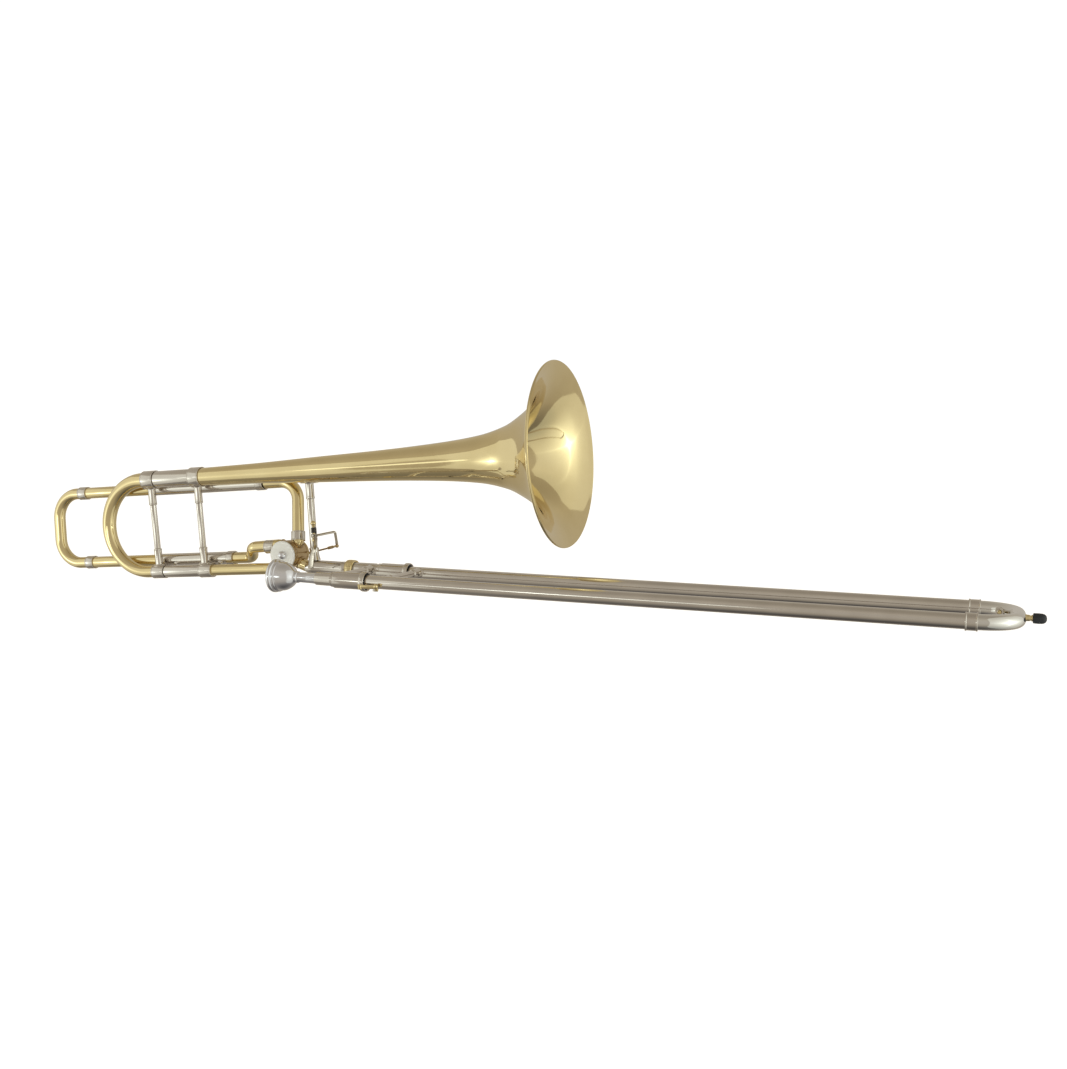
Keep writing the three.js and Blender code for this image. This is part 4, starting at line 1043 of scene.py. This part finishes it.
def make_outer_slide():
    body = "outer_slide"
    for name, place in (("far", FAR), ("near", NEAR)):
        start, end, _ = reach(f"outer_tube_{name}", place)
        tube_shape = sleeve(start, end, SLIDE_RADIUS, 7.2, 0.2)
        piece(f"slide_tube_{name}", tube_shape, place, NICKEL, body, f"outer_tube_{name}")
        start, end, ring = reach(f"bow_ferrule_{name}", place)
        outline = lipped(start, end, ring, [(0, 0.15), (0.5, 0), (1.1, 0), (1.5, 0.5)])
        shape = lathe([(start, 7.9), *outline, (end, 7.9)])
        piece(f"slide_bow_ferrule_{name}", shape, place, NICKEL, body, f"bow_ferrule_{name}")
    stud = turned_between((STUD_X, 0, 7.4), (STUD_X, 0, 10.8), [
        (0, 3.4), (0.12, 2.4), (0.5, 2.1), (0.55, 3.2), (1, 3),
    ], 40)
    turn = radians(HOOK_ANGLE + LOCK_TURN + 36)
    piece("slide_lock_stud", moved(stud, Matrix.Rotation(turn, 4, "X")), NEAR, NICKEL, body)

    start, tip, _ = reach("end_bow", FAR)
    path = u_bend((start, 0, 0), (start, -SLIDE_SPACING, 0), tip - SLIDE_RADIUS, 35, 3)
    piece("slide_end_bow", pipe(path, SLIDE_RADIUS, sides=80), FAR, CHROME, body, "end_bow")
    make_slide_brace("outer_slide_brace", "outer_brace", body, 3.4, SLIDE_RADIUS)
    make_outer_brace_flanges(body)
    make_bumper(body, tip)
    make_water_key(body)


def make_outer_brace_flanges(body):
    """The two curved flanges that clasp the outer tubes where the brace meets them."""
    low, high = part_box("outer_brace")
    x = (low.x + high.x) * 500
    flange = saddle(0, SLIDE_RADIUS, 1, 8, radians(58), 0.8)
    flanges = [
        moved(flange, Matrix.Translation((x, y, 0)) @ Matrix.Rotation(radians(lean), 4, "X"))
        for y, lean in ((0, 72), (-SLIDE_SPACING, -72))
    ]
    piece("outer_brace_flanges", merged(*flanges), FAR, NICKEL, body)


def make_bumper(body, tip):
    middle = shifted(FAR, 0, -SLIDE_SPACING / 2, 0)
    stem = [(tip + x, r) for x, r in (
        (-0.8, 0), (-0.8, 3.6), (0.8, 3.2), (3.2, 3.1), (3.7, 2.6), (4.6, 2.6), (4.8, 3.3), (5.8, 3.3),
        (6, 2.9), (13.2, 2.9), (13.2, 0),
    )]
    piece("bumper_screw", turned(softened(stem), 48), middle, BRASS, body, "bumper_stem")
    start, end, radius = reach("rubber_bumper", middle)
    cap = [
        (start - 1.8, 3), (start - 1.8, radius - 0.5), (start - 1.3, radius), (start + 3, radius + 0.15),
        (end - 4, radius), (end - 2.4, radius - 0.5), (end - 1.1, radius - 1.4), (end - 0.3, radius - 2.7),
        (end, radius - 4.2), (end, 0), (end - 4.6, 0), (end - 4.6, 3),
    ]
    piece("bumper_cap", turned(softened(cap, 0.3), 56), middle, RUBBER, body, "rubber_bumper")


def make_water_key(body):
    place = shifted(FAR, 757, 0, 0)
    low, high, radius = reach("water_key_body", place @ QUARTER)
    shell = [(low, radius - 0.3), (low + 0.3, radius), (high, radius + 0.6), (high, 2.1), (low, 2.1)]
    piece("water_key_socket", lathe_about_y(shell, sides=48), place, NICKEL, body, "water_key_body")
    low, high, radius = reach("water_key_button", place @ QUARTER)
    knob = turned_about_y(softened([(low, 0), (low, radius), (high, radius), (high, 0)], 0.5, 4), 36)
    piece("water_key_knob", knob, place, BRASS, "water_key_button", "water_key_button")


# --- assembly

make_bell()
make_bell_tubes()
make_valve()
make_stop_arm()
make_gooseneck()
make_receiver()
make_f_tubes()
make_f_struts()
make_line_brace("bell_line_brace", "bell_section", "bell_brace", 9.5, 13)
make_hand_brace()
make_tuning_slide()
make_f_tuning_slide()
make_lever_post()
make_lever_spring()
make_thumb_lever()
make_link()
make_lock_nut()
make_inner_slide()
make_slide_lock()
make_mouthpiece()
make_outer_slide()

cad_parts["rotor"].data.materials.clear()
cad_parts["rotor"].data.materials.append(BRASS)


# --- stage, light, camera

FLOOR_HEIGHT = -0.9


def make_floor():
    mesh = bpy.data.meshes.new("floor")
    vertices, faces = turned([(0, 0), (0, 3), (0, 12), (0, 60)], 64)
    mesh.from_pydata([UPRIGHT @ Vector(v) for v in vertices], [], faces)
    floor = placed("floor", mesh)
    floor.location.z = FLOOR_HEIGHT
    made = bpy.data.materials.new("floor_paper")
    made.use_nodes = True
    tree = made.node_tree
    inputs = tree.nodes["Principled BSDF"].inputs
    for key, value in (("Roughness", 0.95), ("Specular IOR Level", 0.1), ("Emission Strength", 0.75)):
        inputs[key].default_value = value
    inputs["Emission Color"].default_value = (1, 1, 1, 1)
    speckle = node(tree, "ShaderNodeTexNoise", Scale=40, Detail=2)
    tint = ramp(tree, (0, (0.90, 0.90, 0.90)), (1, (0.93, 0.93, 0.925)))
    tree.links.new(speckle.outputs["Fac"], tint.inputs["Fac"])
    tree.links.new(tint.outputs["Color"], inputs["Base Color"])
    mesh.materials.append(made)
    floor.visible_glossy = False


# The studio's radiance by the sine of the elevation: a warm grey, darkest under the object.
SURROUND = (
    (-1, (0.09, 0.085, 0.08)), (-0.88, (0.21, 0.195, 0.175)), (-0.6, (0.40, 0.36, 0.30)),
    (-0.2, (0.49, 0.45, 0.385)), (0.25, (0.50, 0.46, 0.40)), (0.6, (0.50, 0.455, 0.38)),
    (1, (0.36, 0.32, 0.26)),
)


def make_world():
    world = bpy.data.worlds.new("studio")
    bpy.context.scene.world = world
    world.use_nodes = True
    tree = world.node_tree
    tree.nodes.clear()
    link = tree.links.new
    output = node(tree, "ShaderNodeOutputWorld")
    where = node(tree, "ShaderNodeTexCoord")
    split = node(tree, "ShaderNodeSeparateXYZ")
    link(where.outputs["Generated"], split.inputs[0])
    shades = ramp(tree, *[((height + 1) / 2, colour) for height, colour in SURROUND])
    rise = node(tree, "ShaderNodeMapRange", From_Min=-1)
    link(split.outputs["Z"], rise.inputs["Value"])
    link(rise.outputs["Result"], shades.inputs["Fac"])
    studio = node(tree, "ShaderNodeBackground")
    link(shades.outputs["Color"], studio.inputs["Color"])
    backdrop = node(tree, "ShaderNodeBackground", Color=(1, 1, 1, 1), Strength=1.05)
    seen = node(tree, "ShaderNodeLightPath")
    mix = node(tree, "ShaderNodeMixShader")
    link(seen.outputs["Is Camera Ray"], mix.inputs[0])
    link(studio.outputs[0], mix.inputs[1])
    link(backdrop.outputs[0], mix.inputs[2])
    link(mix.outputs[0], output.inputs[0])


SCRIM_EDGE = 0.29
SCRIM_COLOUR = (0.92, 1, 0.95)
CORNER_CUT = 0.87
LAMP_STRENGTH = 0.62
CORE_STRENGTH = 13
CORE_FALL = 3.5


def softbox(name, centre, aim, width, height, hot, spread, strength):
    """An eight-sided scrim with a lamp behind it. The light falls off round the hot point, which is
    given in metres from the middle of the scrim, and has a small four-pointed core."""
    light = bpy.data.lights.new(name, "AREA")
    light.shape = "RECTANGLE"
    light.size = width
    light.size_y = height
    light.energy = pi * width * height * strength
    light.color = SCRIM_COLOUR
    light.use_nodes = True
    tree = light.node_tree
    tree.nodes.clear()
    link = tree.links.new

    def result(operation, *values):
        made = node(tree, "ShaderNodeMath", operation=operation)
        for socket, value in zip(made.inputs, values):
            if isinstance(value, (int, float)):
                socket.default_value = value
            else:
                link(value, socket)
        return made.outputs[0]

    def plus(first, second):
        return result("ADD", first, second)

    def times(first, second):
        return result("MULTIPLY", first, second)

    def size(value):
        return result("ABSOLUTE", value)

    place = node(tree, "ShaderNodeNewGeometry")
    split = node(tree, "ShaderNodeSeparateXYZ")
    link(place.outputs["Parametric"], split.inputs[0])
    x = split.outputs["X"]
    y = split.outputs["Y"]
    across = times(result("SUBTRACT", x, 0.5 + hot[0] / width), width / spread)
    upward = times(result("SUBTRACT", y, 0.5 + hot[1] / height), height / spread)
    corner = plus(size(result("SUBTRACT", x, 0.5)), size(result("SUBTRACT", y, 0.5)))
    inside = result("LESS_THAN", corner, CORNER_CUT)
    distance = plus(times(across, across), times(upward, upward))
    wide = result("EXPONENT", times(distance, -1))
    arms = plus(result("POWER", size(across), 0.5), result("POWER", size(upward), 0.5))
    core = result("EXPONENT", times(arms, -CORE_FALL))
    total = plus(times(wide, LAMP_STRENGTH), times(core, CORE_STRENGTH))
    glow = node(tree, "ShaderNodeEmission")
    link(times(plus(total, SCRIM_EDGE), inside), glow.inputs["Strength"])
    output = node(tree, "ShaderNodeOutputLight")
    link(glow.outputs[0], output.inputs[0])
    made = placed(name, light)
    made.location = centre
    made.rotation_euler = (Vector(aim) - Vector(centre)).to_track_quat("-Z", "Y").to_euler()
    made.visible_camera = False


def make_camera():
    right = Vector((0.92796835, 0.37251003, 0.0105367))
    up = Vector((-0.04327013, 0.0796219, 0.99588556))
    back = right.cross(up)
    camera = bpy.data.cameras.new("camera")
    camera.sensor_fit = "VERTICAL"
    camera.sensor_height = 36
    camera.lens = 40.14
    camera.clip_end = 200
    made = placed("camera", camera)
    turn = Matrix((right, up, back)).transposed().to_4x4()
    made.matrix_world = Matrix.Translation((0.76247, -1.28388, 0.17881)) @ turn
    bpy.context.scene.camera = made


make_floor()
make_world()
softbox("left_softbox", (-2, -0.86, -0.12), (0, 0, -0.1), 2.8, 3.4, (0.45, -0.2), 0.45, 1.1)
softbox("right_softbox", (2.04, 0.29, 0), (1.072, 0.541, 0), 3.9, 5.5, (-0.45, 0), 0.9, 0.85)
softbox("far_strip", (-1.2, -3.3, 0), (-1.2, 0, 0.02), 2.8, 0.5, (0, 0), 3, 0.42)
make_camera()
bpy.context.scene.view_settings.view_transform = "Standard"
